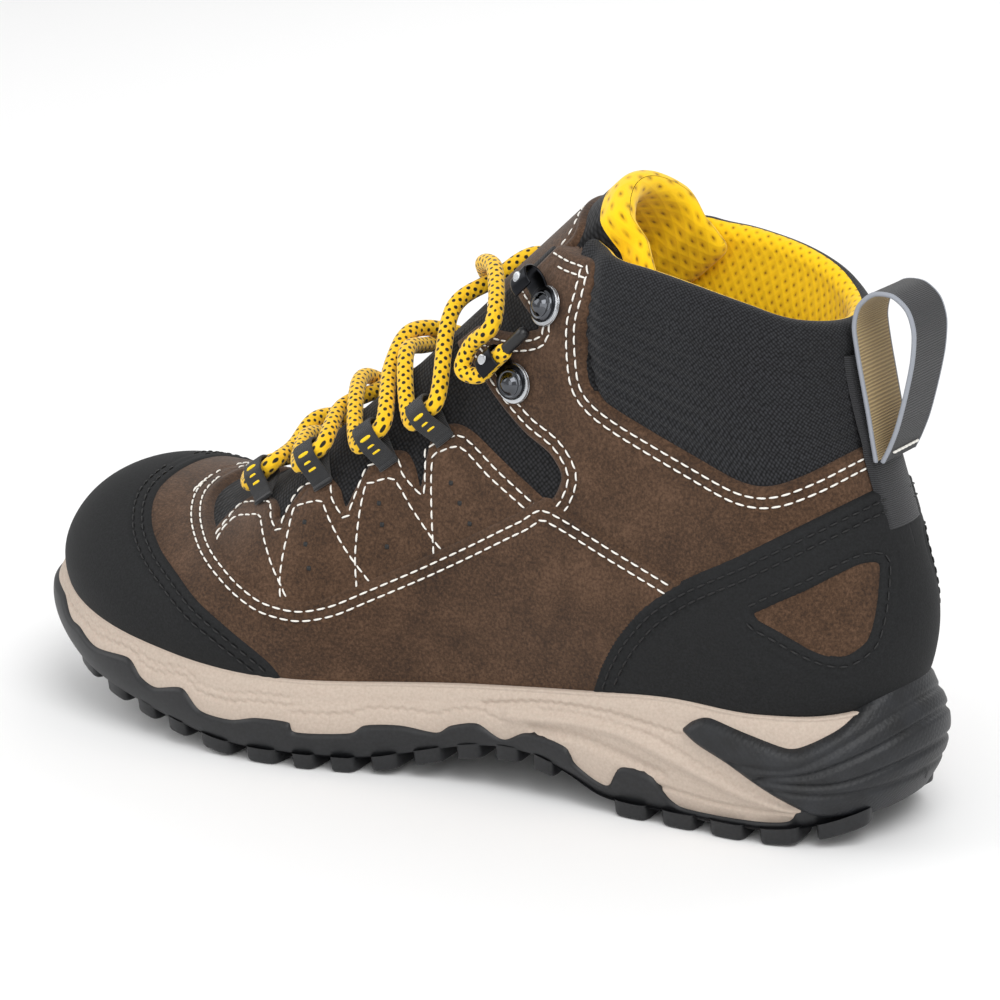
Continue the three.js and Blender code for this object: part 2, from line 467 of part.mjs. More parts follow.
// Open hooks with domed rivets.
const hookSeats = [[-33, 128], [-43.5, 152]];
const hookHold = {};
hookSeats.forEach(([x, z], i) => {
  for (const side of [1, -1]) {
    const f = seat(x, z, side), word = side > 0 ? 'lateral' : 'medial', level = i ? 'upper' : 'lower';
    const profile = [[-6, 1], [5, 1], [8.2, 2.3], [9.4, 4.7], [8.2, 7.3], [5.2, 8.1], [2.8, 7.5]];
    add(`hook_${word}_${level}`, strip(profile, 1, 7.4, f.basis), 'steel');
    const dome = new THREE.LatheGeometry([[0, 0], [4.4, 0], [4.6, 0.9], [3.6, 2.3], [1.9, 3], [0, 3.2]]
      .map(([r, h]) => new THREE.Vector2(r, h + 1.8)), 10);
    dome.translate(-2.2, 0, 0);
    dome.applyMatrix4(f.basis);
    add(`rivet_${word}_${level}`, solid(dome), 'plain');
    hookHold[`${side}_${i}`] = f;
  }
});

// One lace: bar at the toe end, crossed through the loops, round the lower hooks, ends laid by.
const up = new THREE.Vector3(...along);
const near = (f, u, n, s) => f.p.clone().addScaledVector(f.u, u).addScaledVector(f.n, n)
  .addScaledVector(f.s, s);
const crossAt = [14.5, 38.5, 62.5];
// Point h above the skin of the instep, s along it and y off its middle.
function over(s, y, h) {
  let n = 6, p = spot(s, y, n);
  while (n > -30 && halfWidth(p.x, p.z, Math.sign(y) || 1, 0) < abs(y) + 0.05) {
    n -= 0.2;
    p = spot(s, y, n);
  }
  return spot(s, y, n + h);
}
function half(side) {
  const points = [];
  for (let i = 0; i < 4; i += 1) {
    const here = i % 2 === 0 ? side : -side, c = held[`${here}_${i}`];
    points.push(c.clone().addScaledVector(up, -5.5), c, c.clone().addScaledVector(up, 5.5));
    const m = crossAt[i];
    if (i < 3) points.push(over(m - 3.5, here * 15, 3.4), over(m, 0, side > 0 ? 6.6 : 0.9),
      over(m + 3.5, -here * 15, 3.4));
  }
  const f = hookHold[`${side}_0`];
  points.push(over(88, -side * 12, 3.4), over(97, 0, side > 0 ? 6.6 : 0.9), over(107, side * 12, 3.6),
    near(f, 14.2, 4.4, 6), near(f, 14, 5, -4), near(f, 10, 5.6, -10.4), near(f, 5.7, 4.8, -7),
    near(f, 5.6, 4.7, 0), near(f, 5.6, 4.7, 6));
  return points;
}
const outer = half(1), inner = half(-1);
const route = [...[...outer].reverse(), over(-8, 15, 3.3),
  over(-10.5, 0, 3.2), over(-8, -15, 3.3), ...inner];
add('lace', tube(route, laceDiameter / 2, laceSides, 112), 'lace');
for (const [word, points] of [['lateral', outer], ['medial', inner]]) {
  const a = points[points.length - 2], b = points[points.length - 1];
  const d = b.clone().sub(a).normalize();
  add(`aglet_${word}`, tube([b.clone().addScaledVector(d, 0.4), b.clone().addScaledVector(d, 5),
    b.clone().addScaledVector(d, 10)], 1.9, 8, 1), 'plastic');
}

// Pull loop folded from one strap, standing behind the collar.
const loopPath = [[-140.8, 112.4], [-139.6, 118], [-138.2, 125], [-136.2, 134], [-134.2, 143],
  [-132.9, 151], [-134.2, 157], [-138.6, 161], [-144.6, 161.2], [-149.4, 157.6], [-151.6, 151.5],
  [-151.4, 143], [-149.6, 133], [-147.2, 123], [-144.8, 116.4], [-143, 112.6]];
add('pull_loop', strip(loopPath, 1.3, strapWidth,
  basisOf([1, 0, 0], [0, 0, 1], [0, -1, 0], [0, middleShift, 0])), 'twill');

export default group;
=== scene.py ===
import bpy
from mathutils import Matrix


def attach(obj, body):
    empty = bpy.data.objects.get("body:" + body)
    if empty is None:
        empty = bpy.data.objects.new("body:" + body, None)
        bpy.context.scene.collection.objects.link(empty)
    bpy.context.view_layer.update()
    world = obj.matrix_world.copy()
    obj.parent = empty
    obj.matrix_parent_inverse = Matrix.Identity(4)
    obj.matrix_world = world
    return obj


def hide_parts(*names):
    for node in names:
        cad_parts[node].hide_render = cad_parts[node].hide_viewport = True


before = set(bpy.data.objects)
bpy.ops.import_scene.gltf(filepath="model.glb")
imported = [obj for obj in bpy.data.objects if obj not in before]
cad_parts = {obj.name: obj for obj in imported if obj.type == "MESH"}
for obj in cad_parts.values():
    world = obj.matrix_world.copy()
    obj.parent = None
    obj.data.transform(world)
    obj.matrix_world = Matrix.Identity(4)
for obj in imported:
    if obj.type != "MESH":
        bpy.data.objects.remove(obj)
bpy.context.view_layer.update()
import bmesh, bpy, math
import numpy as np
from mathutils import Vector

# Left mid-cut walking boot. Shapes are worked out in millimetres in the boot's own frame and
# put into the meshes in metres: toe +X, outer side +Y, up +Z, floor z = 0.
lengthShift, middleShift = 1.33, -1.055      # centre the boot's box, as the frame does
bothSides = ((1, "lateral"), (-1, "medial"))
print("frame loaded")

# small maths helpers


def through(stations):
    # smooth curve through a few stations: cubic with each slope taken from its two neighbours
    s = np.array(sorted(stations), float)
    placeAt, heightAt = s[:, 0], s[:, 1]
    h, d = np.diff(placeAt), np.diff(heightAt) / np.diff(placeAt)
    m = np.r_[d[0], (d[:-1] * h[1:] + d[1:] * h[:-1]) / (h[:-1] + h[1:]), d[-1]]

    def curve(v):
        v = np.clip(np.asarray(v, float), placeAt[0], placeAt[-1])
        i = np.clip(np.searchsorted(placeAt, v) - 1, 0, len(placeAt) - 2)
        t = (v - placeAt[i]) / h[i]
        return (heightAt[i] * (1 + 2 * t) * (1 - t) ** 2 + m[i] * h[i] * t * (1 - t) ** 2
                + heightAt[i + 1] * t * t * (3 - 2 * t) + m[i + 1] * h[i] * t * t * (t - 1))
    return curve


def ease(a, b, v):
    t = np.clip((v - a) / (b - a), 0, 1)
    return t * t * (3 - 2 * t)


def unit(v):
    return v / np.maximum(np.linalg.norm(v, axis=-1, keepdims=True), 1e-9)


def runLength(line):
    # length walked along a 3-D polyline, at each of its points
    return np.r_[0, np.cumsum(np.linalg.norm(np.diff(line, axis=0), axis=1))]


def sampled(at, run, table):
    return np.stack([np.interp(at, run, table[:, i]) for i in range(3)], -1)


def squarish(a, power):
    # sign(cos a) |cos a|^power and the same with the sine: a circle pushed towards a square
    c, s = np.cos(a), np.sin(a)
    return np.sign(c) * np.abs(c) ** power, np.sign(s) * np.abs(s) ** power


# the last: the curves every part of the boot is drawn on
last = {"toeTip": 149, "noseStart": 84, "rearX": -147.5}
feather = through([(-152, 44), (-143, 40.5), (-118, 38.3), (-88, 38.8), (-58, 35.5), (-23, 31.5),
    (17, 28), (52, 27.5), (82, 30), (107, 33.3), (127, 37), (149, 43)])
outerWidth = through([(-158, 34), (-108, 34), (-68, 33), (-33, 34), (2, 40), (37, 49), (66, 51.5),
    (92, 50), (149, 46)])
innerWidth = through([(-158, 32), (-108, 32), (-68, 30), (-33, 30), (2, 35), (37, 43), (62, 46),
    (92, 46), (149, 44)])
instep = through([(149, 76), (120, 75), (103, 73.5), (88, 73), (76, 75.5), (64, 82), (44, 98.5),
    (12, 128.5), (-18, 156.5), (-54, 190), (-88, 222)])
back = through([(36, -145), (44, -149.5), (54, -152), (64, -152.3), (80, -149), (95, -144.5),
    (110, -139.5), (125, -134.5), (140, -131), (155, -130.5), (175, -132)])
shaft = through([(30, 33.5), (40, 34.5), (60, 37), (85, 36), (110, 34), (135, 35.5), (150, 36.5),
    (175, 36), (200, 34)])
treadCurve = through([(156, 25), (135, 18.5), (121, 14), (107, 10.5), (93, 7.5), (82, 5),
    (70, 2.6), (60, 0.8), (52, 0), (16, 0), (8, 1.2), (-7, 5), (-21, 8.6), (-35, 10.2), (-45, 9.2),
    (-56, 5.4), (-66, 1), (-74, 0), (-120, 0), (-132, 1.6), (-142, 4.6), (-152, 9.5), (-160, 16)])
# the lace gap starts low on the instep and runs along it; inward points into the boot
gapStart = np.array([64, middleShift, 82])
along, inward = np.array([-0.7377, 0, 0.6752]), np.array([-0.6752, 0, -0.7377])
frontX = 92 - 4 * np.arange(46.0)
frontZ = instep(frontX)


def tread(x):
    return np.maximum(0, treadCurve(x))


def middle(x):
    return middleShift - 9 * np.maximum(0, (x - 40) / 100) ** 2


def topLine(x, k=0.0):
    n = np.clip((x - last["noseStart"]) / (last["toeTip"] - k - last["noseStart"]), 0, 1)
    steep = (instep(x + 1) - instep(x - 1)) / 2
    crown = instep(x) - k * np.sqrt(1 + steep ** 2)
    return feather(x) + (crown - feather(x)) * np.clip(1 - n ** 3, 0, 1) ** (1 / 2.1)


def fromFront(x, z):
    best = np.full(np.broadcast(x, z).shape, 1e9)
    for i in range(len(frontX) - 1):
        ax, az, dx, dz = frontX[i], frontZ[i], frontX[i + 1] - frontX[i], frontZ[i + 1] - frontZ[i]
        t = np.clip(((x - ax) * dx + (z - az) * dz) / (dx * dx + dz * dz), 0, 1)
        best = np.minimum(best, (x - ax - t * dx) ** 2 + (z - az - t * dz) ** 2)
    return np.where(z < instep(x), np.sqrt(best), 0)


def halfWidth(x, z, side, k=0.0):
    # forefoot: plan width times a squarish arch; leg: width rounded off at the back and the front
    outer = side > 0
    rise = np.clip((z - feather(x)) / np.maximum(topLine(x, k) - feather(x), 1e-6), 0, 1)
    n = np.clip((x - last["noseStart"]) / (last["toeTip"] - k - last["noseStart"]), 0, 1)
    plan = np.where(outer, outerWidth(x), innerWidth(x)) - k
    plan = plan * np.sqrt(np.clip(1 - n ** 2.6, 0, 1))
    foot = plan * np.sqrt(np.clip(1 - rise ** 2.6, 0, 1)) * (1 + 0.45 * rise * (1 - rise) ** 2)
    rear = np.clip((x - back(z) - k) / 44, 0, 1)
    front = np.clip((fromFront(x, z) - k) / 40, 0, 1)
    leg = (shaft(z) * np.where(outer, 1, 0.97) - k) * np.sqrt(np.clip(1 - (1 - rear) ** 2.3, 0, 1))
    leg = leg * np.sqrt(np.clip(1 - (1 - front) ** 2.2, 0, 1))
    mix = ease(-68, 37, x)
    return leg * (1 - mix) + foot * mix


def onSkin(x, z, side, k=0.0, step=0.25):
    # point of the skin over a side-view place, with its outward normal
    x, z = np.asarray(x, float), np.asarray(z, float)
    w = halfWidth(x, z, side, k)
    wx = (halfWidth(x + step, z, side, k) - halfWidth(x - step, z, side, k)) / (2 * step)
    wz = (halfWidth(x, z + step, side, k) - halfWidth(x, z - step, side, k)) / (2 * step)
    bend = (middle(x + step) - middle(x - step)) / (2 * step)
    side = np.broadcast_to(side, x.shape)
    n = np.stack([-wx - side * bend, side * np.ones_like(x), -wz], -1)
    return np.stack([x, middle(x) + side * w, z], -1), unit(n)


# mesh building
def makeMesh(name, points, faces, body, material, uv=None, replaces=(), outward=None):
    # faces with equal corners are dropped; outward is one direction per vertex to face towards
    points, faces = np.asarray(points, float).reshape(-1, 3), np.asarray(faces, int)
    a, b, c, d = (points[faces[:, i]] for i in range(4))
    normal = np.cross(c - a, d - b)
    if outward is not None:
        guess = np.asarray(outward, float).reshape(-1, 3)[faces].mean(1)
        if (normal * guess).sum() < 0:
            faces = faces[:, ::-1]
    good = np.linalg.norm(normal, axis=1) > 1e-7
    faces = faces[good]
    used = np.unique(faces)
    place = np.full(len(points), -1)
    place[used] = np.arange(len(used))
    mesh = bpy.data.meshes.new(name)
    mesh.vertices.add(len(used))
    moved = (points[used] + [lengthShift, 0, 0]) * 0.001
    mesh.vertices.foreach_set("co", moved.ravel())
    mesh.loops.add(faces.size)
    mesh.loops.foreach_set("vertex_index", place[faces].ravel())
    mesh.polygons.add(len(faces))
    mesh.polygons.foreach_set("loop_start", np.arange(0, faces.size, 4))
    mesh.polygons.foreach_set("loop_total", np.full(len(faces), 4))
    mesh.polygons.foreach_set("use_smooth", np.ones(len(faces), bool))
    if uv is not None:
        layer = mesh.uv_layers.new(name="weave")
        layer.data.foreach_set("uv", (np.asarray(uv, float).reshape(-1, 2)[faces] * 0.001).ravel())
    mesh.materials.append(material)
    mesh.update(calc_edges=True)
    mesh.validate()
    item = bpy.data.objects.new(name, mesh)
    bpy.context.collection.objects.link(item)
    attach(item, body)
    if replaces:
        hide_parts(*replaces)
    return item


def gridFaces(rows, cols, wrapCols=False):
    across = cols if wrapCols else cols - 1
    i, j = np.meshgrid(np.arange(rows - 1), np.arange(across), indexing="ij")
    i2, j2 = i + 1, (j + 1) % cols
    return np.stack([i * cols + j, i2 * cols + j, i2 * cols + j2, i * cols + j2], -1).reshape(-1, 4)


def copiesOf(count, rows, cols):
    # faces of count equal closed grids, one after the other
    one, first = gridFaces(rows, cols, wrapCols=True), np.arange(count) * rows * cols
    return (one[None] + first[:, None, None]).reshape(-1, 4)


def closeSeams(item, gap):
    # corners nearer than gap millimetres are merged and the normals made to face out
    bm = bmesh.new()
    bm.from_mesh(item.data)
    bmesh.ops.remove_doubles(bm, verts=bm.verts, dist=gap * 0.001)
    bmesh.ops.recalc_face_normals(bm, faces=bm.faces)
    bm.to_mesh(item.data)
    bm.free()


# materials
def linear(hexColour):
    c = np.array([int(hexColour[i:i + 2], 16) / 255 for i in (1, 3, 5)])
    return (*np.where(c <= 0.04045, c / 12.92, ((c + 0.055) / 1.055) ** 2.4), 1.0)


def addNode(tree, kind, inputs=None, **settings):
    # one node with its settings; an input value may be a number, a colour or another socket
    node = tree.nodes.new(kind)
    for key, value in settings.items():
        setattr(node, key, value)
    for key, value in (inputs or {}).items():
        if isinstance(value, bpy.types.NodeSocket):
            tree.links.new(value, node.inputs[key])
        else:
            node.inputs[key].default_value = value
    return node


def startMaterial(name, roughness, **more):
    mat = bpy.data.materials.new(name)
    mat.use_nodes = True
    tree = mat.node_tree
    shader = tree.nodes["Principled BSDF"]
    shader.inputs["Roughness"].default_value = roughness
    for key, value in more.items():
        shader.inputs[key].default_value = value
    return mat, tree, shader


def colourBy(tree, shader, fac, stops):
    # base colour from a ramp: stops of place and hex colour
    node = addNode(tree, "ShaderNodeValToRGB", {"Fac": fac})
    for i, (place, colour) in enumerate(stops):
        e = node.color_ramp.elements[i] if i < 2 else node.color_ramp.elements.new(place)
        e.position, e.color = place, linear(colour)
    tree.links.new(node.outputs["Color"], shader.inputs["Base Color"])


def bumpInto(tree, shader, height, distance, strength=1.0):
    # distance in millimetres
    b = addNode(tree, "ShaderNodeBump", {"Height": height, "Distance": distance * 0.001,
                                         "Strength": strength})
    tree.links.new(b.outputs["Normal"], shader.inputs["Normal"])


def noise(tree, coords, sizeMm, detail=3.0, rough=0.55):
    return addNode(tree, "ShaderNodeTexNoise", {
        "Vector": coords, "Scale": 1000 / sizeMm, "Detail": detail,
        "Roughness": rough}).outputs["Fac"]


def objectCoords(tree):
    return addNode(tree, "ShaderNodeTexCoord").outputs["Object"]


def weaveCoords(tree):
    return addNode(tree, "ShaderNodeUVMap", uv_map="weave").outputs["UV"]


def maths(tree, op, a, b=0.0):
    return addNode(tree, "ShaderNodeMath", {0: a, 1: b}, operation=op).outputs[0]


def cells(tree, pitch, randomness, stretch=1.0, turn=math.pi / 4, metric="EUCLIDEAN"):
    # distance to the nearest point of a turned lattice with one point every pitch millimetres
    scale = (1000 / pitch, 1000 / pitch * stretch, 1)
    turned = addNode(tree, "ShaderNodeMapping", {"Vector": weaveCoords(tree), "Scale": scale,
                                                 "Rotation": (0, 0, turn)})
    return addNode(tree, "ShaderNodeTexVoronoi", {"Vector": turned.outputs["Vector"], "Scale": 1.0,
                                                  "Randomness": randomness},
                   distance=metric).outputs["Distance"]


def domes(tree, distance):
    return maths(tree, "SUBTRACT", 1.0, distance)


def suedeMaterial(name, dark, mid, light):
    # nubuck: matt brushed nap that catches light at grazing angles, mottled as if stroked by hand
    mat, tree, shader = startMaterial(name, 0.93, **{"Sheen Weight": 0.12, "Sheen Roughness": 0.5,
                                                     "Specular IOR Level": 0.25})
    xyz = objectCoords(tree)
    fine, cloud = noise(tree, xyz, 0.9, 4.0, 0.7), noise(tree, xyz, 14, 3.0)
    both = maths(tree, "ADD", maths(tree, "MULTIPLY", fine, 0.72),
                 maths(tree, "MULTIPLY", cloud, 0.34))
    colourBy(tree, shader, both, [(0.38, dark), (0.68, light), (0.53, mid)])
    bumpInto(tree, shader, fine, 0.22, 0.8)
    return mat


def grainMaterial(name, dark, light, grain, roughness, distance, **more):
    # coated or moulded surface with a fine even grain
    mat, tree, shader = startMaterial(name, roughness, **more)
    fine = noise(tree, objectCoords(tree), grain, 3.0, 0.6)
    colourBy(tree, shader, fine, [(0.35, dark), (0.7, light)])
    bumpInto(tree, shader, fine, distance, 0.7)
    return mat


def knitMaterial(name, dark, light, pitch, stretch=1.0, roughness=0.9, distance=0.25):
    # knitted textile: rows of small loops, one every pitch millimetres, with painted light on them:
    # a painted highlight on each loop's top and painted shade between the loops
    mat, tree, shader = startMaterial(name, roughness, **{"Sheen Weight": 0.1,
                                                          "Specular IOR Level": 0.2})
    cell = cells(tree, pitch, 0.25, stretch, 0.785)
    # painted light: the loop centres take the light colour as a painted highlight, the gaps between
    # loops the dark colour as painted shade
    colourBy(tree, shader, cell, [(0.1, light), (0.6, dark)])
    bumpInto(tree, shader, domes(tree, cell), distance, 0.9)
    return mat


def spacerMaterial(name, body, rim, hole, pitch):
    # spacer mesh: knit face with staggered open holes; the holes and their rims are painted shade,
    # the yellow darkened towards and inside each hole
    mat, tree, shader = startMaterial(name, 0.85, **{"Sheen Weight": 0.2,
                                                     "Specular IOR Level": 0.2})
    knit = noise(tree, weaveCoords(tree), 0.5, 2.0)
    shade = maths(tree, "ADD", cells(tree, pitch, 0.12), maths(tree, "MULTIPLY", knit, 0.16))
    # painted shade: the hole colour inside the holes, the rim colour round them, the body colour on
    # the knit face
    colourBy(tree, shader, shade, [(0.13, hole), (0.42, body), (0.24, rim)])
    bumpInto(tree, shader, shade, 0.5, 0.8)
    return mat


def laceMaterial(name, fleck, sheath, plaitPitch, fleckPitch):
    # round braid: dark flecks on a bright sheath, its plaits raised in two crossing spirals
    mat, tree, shader = startMaterial(name, 0.75, **{"Sheen Weight": 0.2,
                                                     "Specular IOR Level": 0.3})
    colourBy(tree, shader, cells(tree, fleckPitch, 0.15), [(0.24, fleck), (0.33, sheath)])
    plaits = cells(tree, plaitPitch, 0.1, metric="CHEBYCHEV")
    bumpInto(tree, shader, domes(tree, plaits), 0.35, 0.9)
    return mat


def plainMaterial(name, colour, roughness, **more):
    # one even colour with a very slight unevenness, for thread, plated steel, hard plastic and the
    # painted highlight on the hooks
    mat, tree, shader = startMaterial(name, roughness, **more)
    shader.inputs["Base Color"].default_value = linear(colour)
    bumpInto(tree, shader, noise(tree, objectCoords(tree), 0.7, 2.0), 0.03, 0.4)
    return mat


def webbingMaterial(name, dark, light, pitch):
    # woven tape: fine ribs across the strap, with painted light on them: the light colour is a
    # painted highlight on each rib's crest, the dark colour painted shade in the grooves
    mat, tree, shader = startMaterial(name, 0.8, **{"Sheen Weight": 0.15})
    wave = addNode(tree, "ShaderNodeTexWave", {
        "Vector": weaveCoords(tree), "Scale": 1000 / pitch / 6.28 * 3.14, "Distortion": 0.4,
        "Detail": 1.0}).outputs["Fac"]
    colourBy(tree, shader, wave, [(0.25, dark), (0.75, light)])
    bumpInto(tree, shader, wave, 0.2, 0.9)
    return mat


def diamondRubber(name, dark, light, pitch):
    # moulded rubber with a fine raised diamond grip pattern
    mat, tree, shader = startMaterial(name, 0.5, **{"Specular IOR Level": 0.45})
    soft = noise(tree, objectCoords(tree), 9, 2.0)
    colourBy(tree, shader, soft, [(0.3, dark), (0.75, light)])
    diamonds = cells(tree, pitch, 0.0, metric="CHEBYCHEV")
    bumpInto(tree, shader, domes(tree, diamonds), 0.22, 0.7)
    return mat


suede = suedeMaterial("brownNubuck", "#2f2118", "#473324", "#5f4736")
microfibre = grainMaterial("blackCoatedMicrofibre", "#08090a", "#17181a", 0.7, 0.78, 0.16,
                           **{"Specular IOR Level": 0.35})
rubber = grainMaterial("mouldedRubber", "#0c0d0f", "#1a1b1e", 1.1, 0.5, 0.04)
gripRubber = diamondRubber("grippedRubber", "#0f1012", "#202226", 1.6)
foam = grainMaterial("mouldedFoam", "#b3a395", "#bfb0a2", 0.9, 0.7, 0.02,
                     **{"Subsurface Weight": 0.05, "Subsurface Radius": (0.002, 0.001, 0.001)})
# the black knits are one black yarn, in painted shade between the loops and painted highlight on
# them
blackMesh = knitMaterial("blackKnitMesh", "#060607", "#2c2c2e", 1.15, 1.0, 0.95)
ribKnit = knitMaterial("ribbedStretchKnit", "#0b0b0d", "#333437", 0.95, 1.25, 0.85, 0.22)
# yellow spacer mesh: its yellow, then painted shade on the rims and in the holes
yellowMesh = spacerMaterial("yellowSpacerMesh", "#f5c812", "#d9ab10", "#8c6608", 2.9)
yellowPlain = grainMaterial("yellowKnit", "#e9bd10", "#fbd827", 0.6, 0.85, 0.12)
braid = laceMaterial("roundBraid", "#15130c", "#f0be12", 1.851, 2.2214)
whiteThread = plainMaterial("whiteThread", "#e9e6df", 0.65)
blackThread = plainMaterial("blackThread", "#0b0b0c", 0.55)
darkSteel = plainMaterial("blackedSteel", "#26272a", 0.28, Metallic=1.0)
# light grey metal as the painted highlight on the hooks: the edge of each plate and the cap on each
# tip
paintedHighlightGrey = plainMaterial("paintedHighlightMetal", "#c3c6ca", 0.25, Metallic=1.0)
rivetSteel = plainMaterial("darkChromeRivet", "#56585c", 0.14, Metallic=1.0)
# black and tan tapes: each is one yarn colour, in painted shade in the grooves and painted
# highlight on the ribs
webbing = webbingMaterial("blackWovenTape", "#101012", "#2c2d30", 0.9)
twill = webbingMaterial("tanTwillTape", "#8c7850", "#b39c6f", 1.2)
greyEdge = plainMaterial("greyTapeEdge", "#8f939b", 0.75)
hardPlastic = plainMaterial("blackPlastic", "#111113", 0.35)
print("materials made")

# master grid of the skin: lines fanned from the sole edge to the top line, both sides
gridSize = {"along": 560, "up": 150}
headOf = through([(149, 149), (145, 145), (134, 134), (116, 116), (94, 95), (70, 75), (46, 59),
    (20, 46), (-8, 34), (-38, 20), (-68, 6), (-100, -7), (-128, -16), (-149.5, -22)])
headOfRise = through([(0, -22), (8, -27), (18, -32), (34, -39), (54, -47), (78, -57), (102, -68),
    (124, -80)])


def fanLines():
    # the foot end walks evenly along the sole edge and then up the back; the head end is on the top
    x = 149 - 301 * np.linspace(0, 1, 4000) ** 2
    y = halfWidth(x, feather(x), 1)
    length = np.r_[0, np.cumsum(np.hypot(np.diff(x), np.diff(y)))]
    total = length[-1] + 126
    c = np.linspace(0, 1, gridSize["along"]) * total
    footX = np.interp(c, length, x)
    rise = np.clip(c - length[-1], 0, 124)
    footZ = feather(footX) + rise
    rear = c > length[-1]
    footX = np.where(footX < last["rearX"], back(footZ), footX)
    headX = np.where(rear, headOfRise(rise), headOf(footX))
    return footX, footZ, headX, topLine(headX), ease(-90, -140, footX)


def masterGrid():
    fx, fz, hx, hz, rear = fanLines()
    t = np.linspace(-0.05, 1, gridSize["up"])[:, None]
    tc = np.clip(t, 0, 1)
    q = (1 - rear) * np.sin(tc * np.pi / 2) + rear * (1 - np.cos(tc * np.pi)) / 2
    q = q + np.minimum(t, 0) * (1 - rear) * 1.2
    x, z = fx + (hx - fx) * q, fz + (hz - fz) * q
    w = np.where(t >= 1, 0, halfWidth(x, z, 1)), np.where(t >= 1, 0, halfWidth(x, z, -1))
    near = np.stack([x, middle(x) + w[0], z], -1)
    far = np.stack([x, middle(x) - w[1], z], -1)[::-1][1:]
    skin = np.concatenate([near, far])                       # row: up one side and down the other
    dv, du = np.gradient(skin, axis=0), np.gradient(skin, axis=1)
    skinOut = np.cross(du, dv)
    flip = np.sign(skinOut[30, :, 1])
    skinOut = unit(skinOut * flip[None, :, None])
    for low, ref in ((slice(0, 9), 10), (slice(-9, None), -11)):
        # rows at the back seam take the next row's normal without its sideways part
        skinOut[low, fx < last["rearX"]] = unit(skinOut[ref, fx < last["rearX"]] * [1, 0, 1])
    return skin, skinOut


skin, skinOut = masterGrid()
rows, cols = skin.shape[:2]
lateral = np.arange(rows) < gridSize["up"]
print("skin grid", skin.shape)


def fromPolyline(points, line):
    # shortest distance to a 3-D polyline, for every point
    best = np.full(len(points), 1e12)
    for a, b in zip(line[:-1], line[1:]):
        d = b - a
        t = np.clip(((points - a) @ d) / max(d @ d, 1e-9), 0, 1)
        gap = points - a - t[:, None] * d
        best = np.minimum(best, np.einsum("ij,ij->i", gap, gap))
    return np.sqrt(best)


def insideOutline(x, z, outline):
    odd = np.zeros(x.shape, bool)
    for (ax, az), (bx, bz) in zip(outline, np.roll(outline, -1, 0)):
        if az == bz:
            continue
        cross = ((az > z) != (bz > z)) & (x < (bx - ax) * (z - az) / (bz - az) + ax)
        odd ^= cross
    return odd


def smoothLine(points, n=8):
    # rounded line through the corner points: centripetal-like cubic on a fine step
    p = np.asarray(points, float)
    q = np.vstack([2 * p[0] - p[1], p, 2 * p[-1] - p[-2]])
    t = np.linspace(0, 1, n, endpoint=False)[:, None]
    out = []
    for i in range(1, len(q) - 2):
        a, b, c, d = q[i - 1], q[i], q[i + 1], q[i + 2]
        s = 0.42
        m0, m1 = s * (c - a), s * (d - b)
        out.append(b * (1 + 2 * t) * (1 - t) ** 2 + m0 * t * (1 - t) ** 2
                   + c * t * t * (3 - 2 * t) + m1 * t * t * (t - 1))
    return np.vstack(out + [p[-1:]])


throatDepth = 48


def throatHalf(s):
    return np.interp(s, [-9, -7, -1, 9, 60, 95, 190], [0, 10.4, 16.3, 19, 19.6, 21.5, 23.5])


def outsideThroat(points):
    # how far a point is outside the lace gap, along y: negative in the gap
    rel = points - gapStart
    s = rel @ along
    half = np.where(s < -9, s - 3, throatHalf(s))
    deep = rel @ inward > throatDepth                     # past the tongue: the back of the boot
    return np.where(deep, 99.0, np.abs(rel[..., 1]) - half)


# outlines in side view, millimetres
vampEdge = [(-93, 75.5), (-72, 83.5), (-47, 92.5), (-36, 87.3), (-19, 77.4), (-3, 68.5),
    (13, 60.2), (23, 55.2), (32, 53), (42, 54), (50, 57), (58, 60.5), (66, 63.5), (73, 66),
    (80, 68.5), (87, 72), (90, 78), (90.5, 95)]
waveEdge = [(73, 66.6), (70, 72), (65, 76), (58, 78.3), (51, 79), (47, 77.6), (44.5, 75.3),
    (41, 82), (37, 88), (31, 89.5), (25, 87), (21, 82), (18.5, 89), (15, 96), (11, 99.4), (4, 100),
    (0, 96), (-3, 90), (-4, 102), (-6, 108), (-12, 110.5), (-19, 109), (-31, 101.2), (-43.5, 93.4),
    (-50, 89)]
quarterFront = [(-6, 133.5), (-18, 128), (-27, 120.5), (-37, 112.2), (-46, 107), (-50.5, 101),
    (-49, 95), (-45.5, 90.5)]
quarterTop = [(-165, 128), (-150, 121.5), (-137, 115.5), (-129, 110.6), (-121, 106.8),
    (-115, 105.6), (-108, 106.6), (-96, 111), (-83, 116), (-71, 121), (-63, 125.5), (-59.2, 131),
    (-58.3, 146), (-60.3, 156), (-60.4, 165.2), (-50, 166.4), (-39, 166.8), (-31.5, 165.2),
    (-26, 161), (-18, 157)]
lacingNotch = [(-12, 154), (-24, 152.5), (-32, 149.5), (-41.5, 143.8), (-30, 140.2), (-14, 139)]
quarterEdge = quarterTop + lacingNotch + quarterFront
randEdge = [(104.5, 95), (105.4, 78), (105, 70), (97, 63), (88, 58), (76, 53), (66, 48),
    (57, 43.5), (48, 38), (41, 32.5), (37, 26), (34, 18)]
counterEdge = [(-58, 28), (-62, 36), (-66, 46), (-72, 56), (-81, 66.5), (-93, 75.5), (-110, 85),
    (-129, 96.5), (-142, 104), (-158, 111)]
windowEdge = [(-116, 70), (-123, 74.2), (-130, 78), (-136, 81.8), (-141.2, 84.6), (-144.4, 84),
    (-145.4, 79), (-146, 70), (-145, 62.6), (-141, 58.6), (-136.5, 58.8), (-130, 61.8),
    (-123, 65.6), (-117.5, 68)]


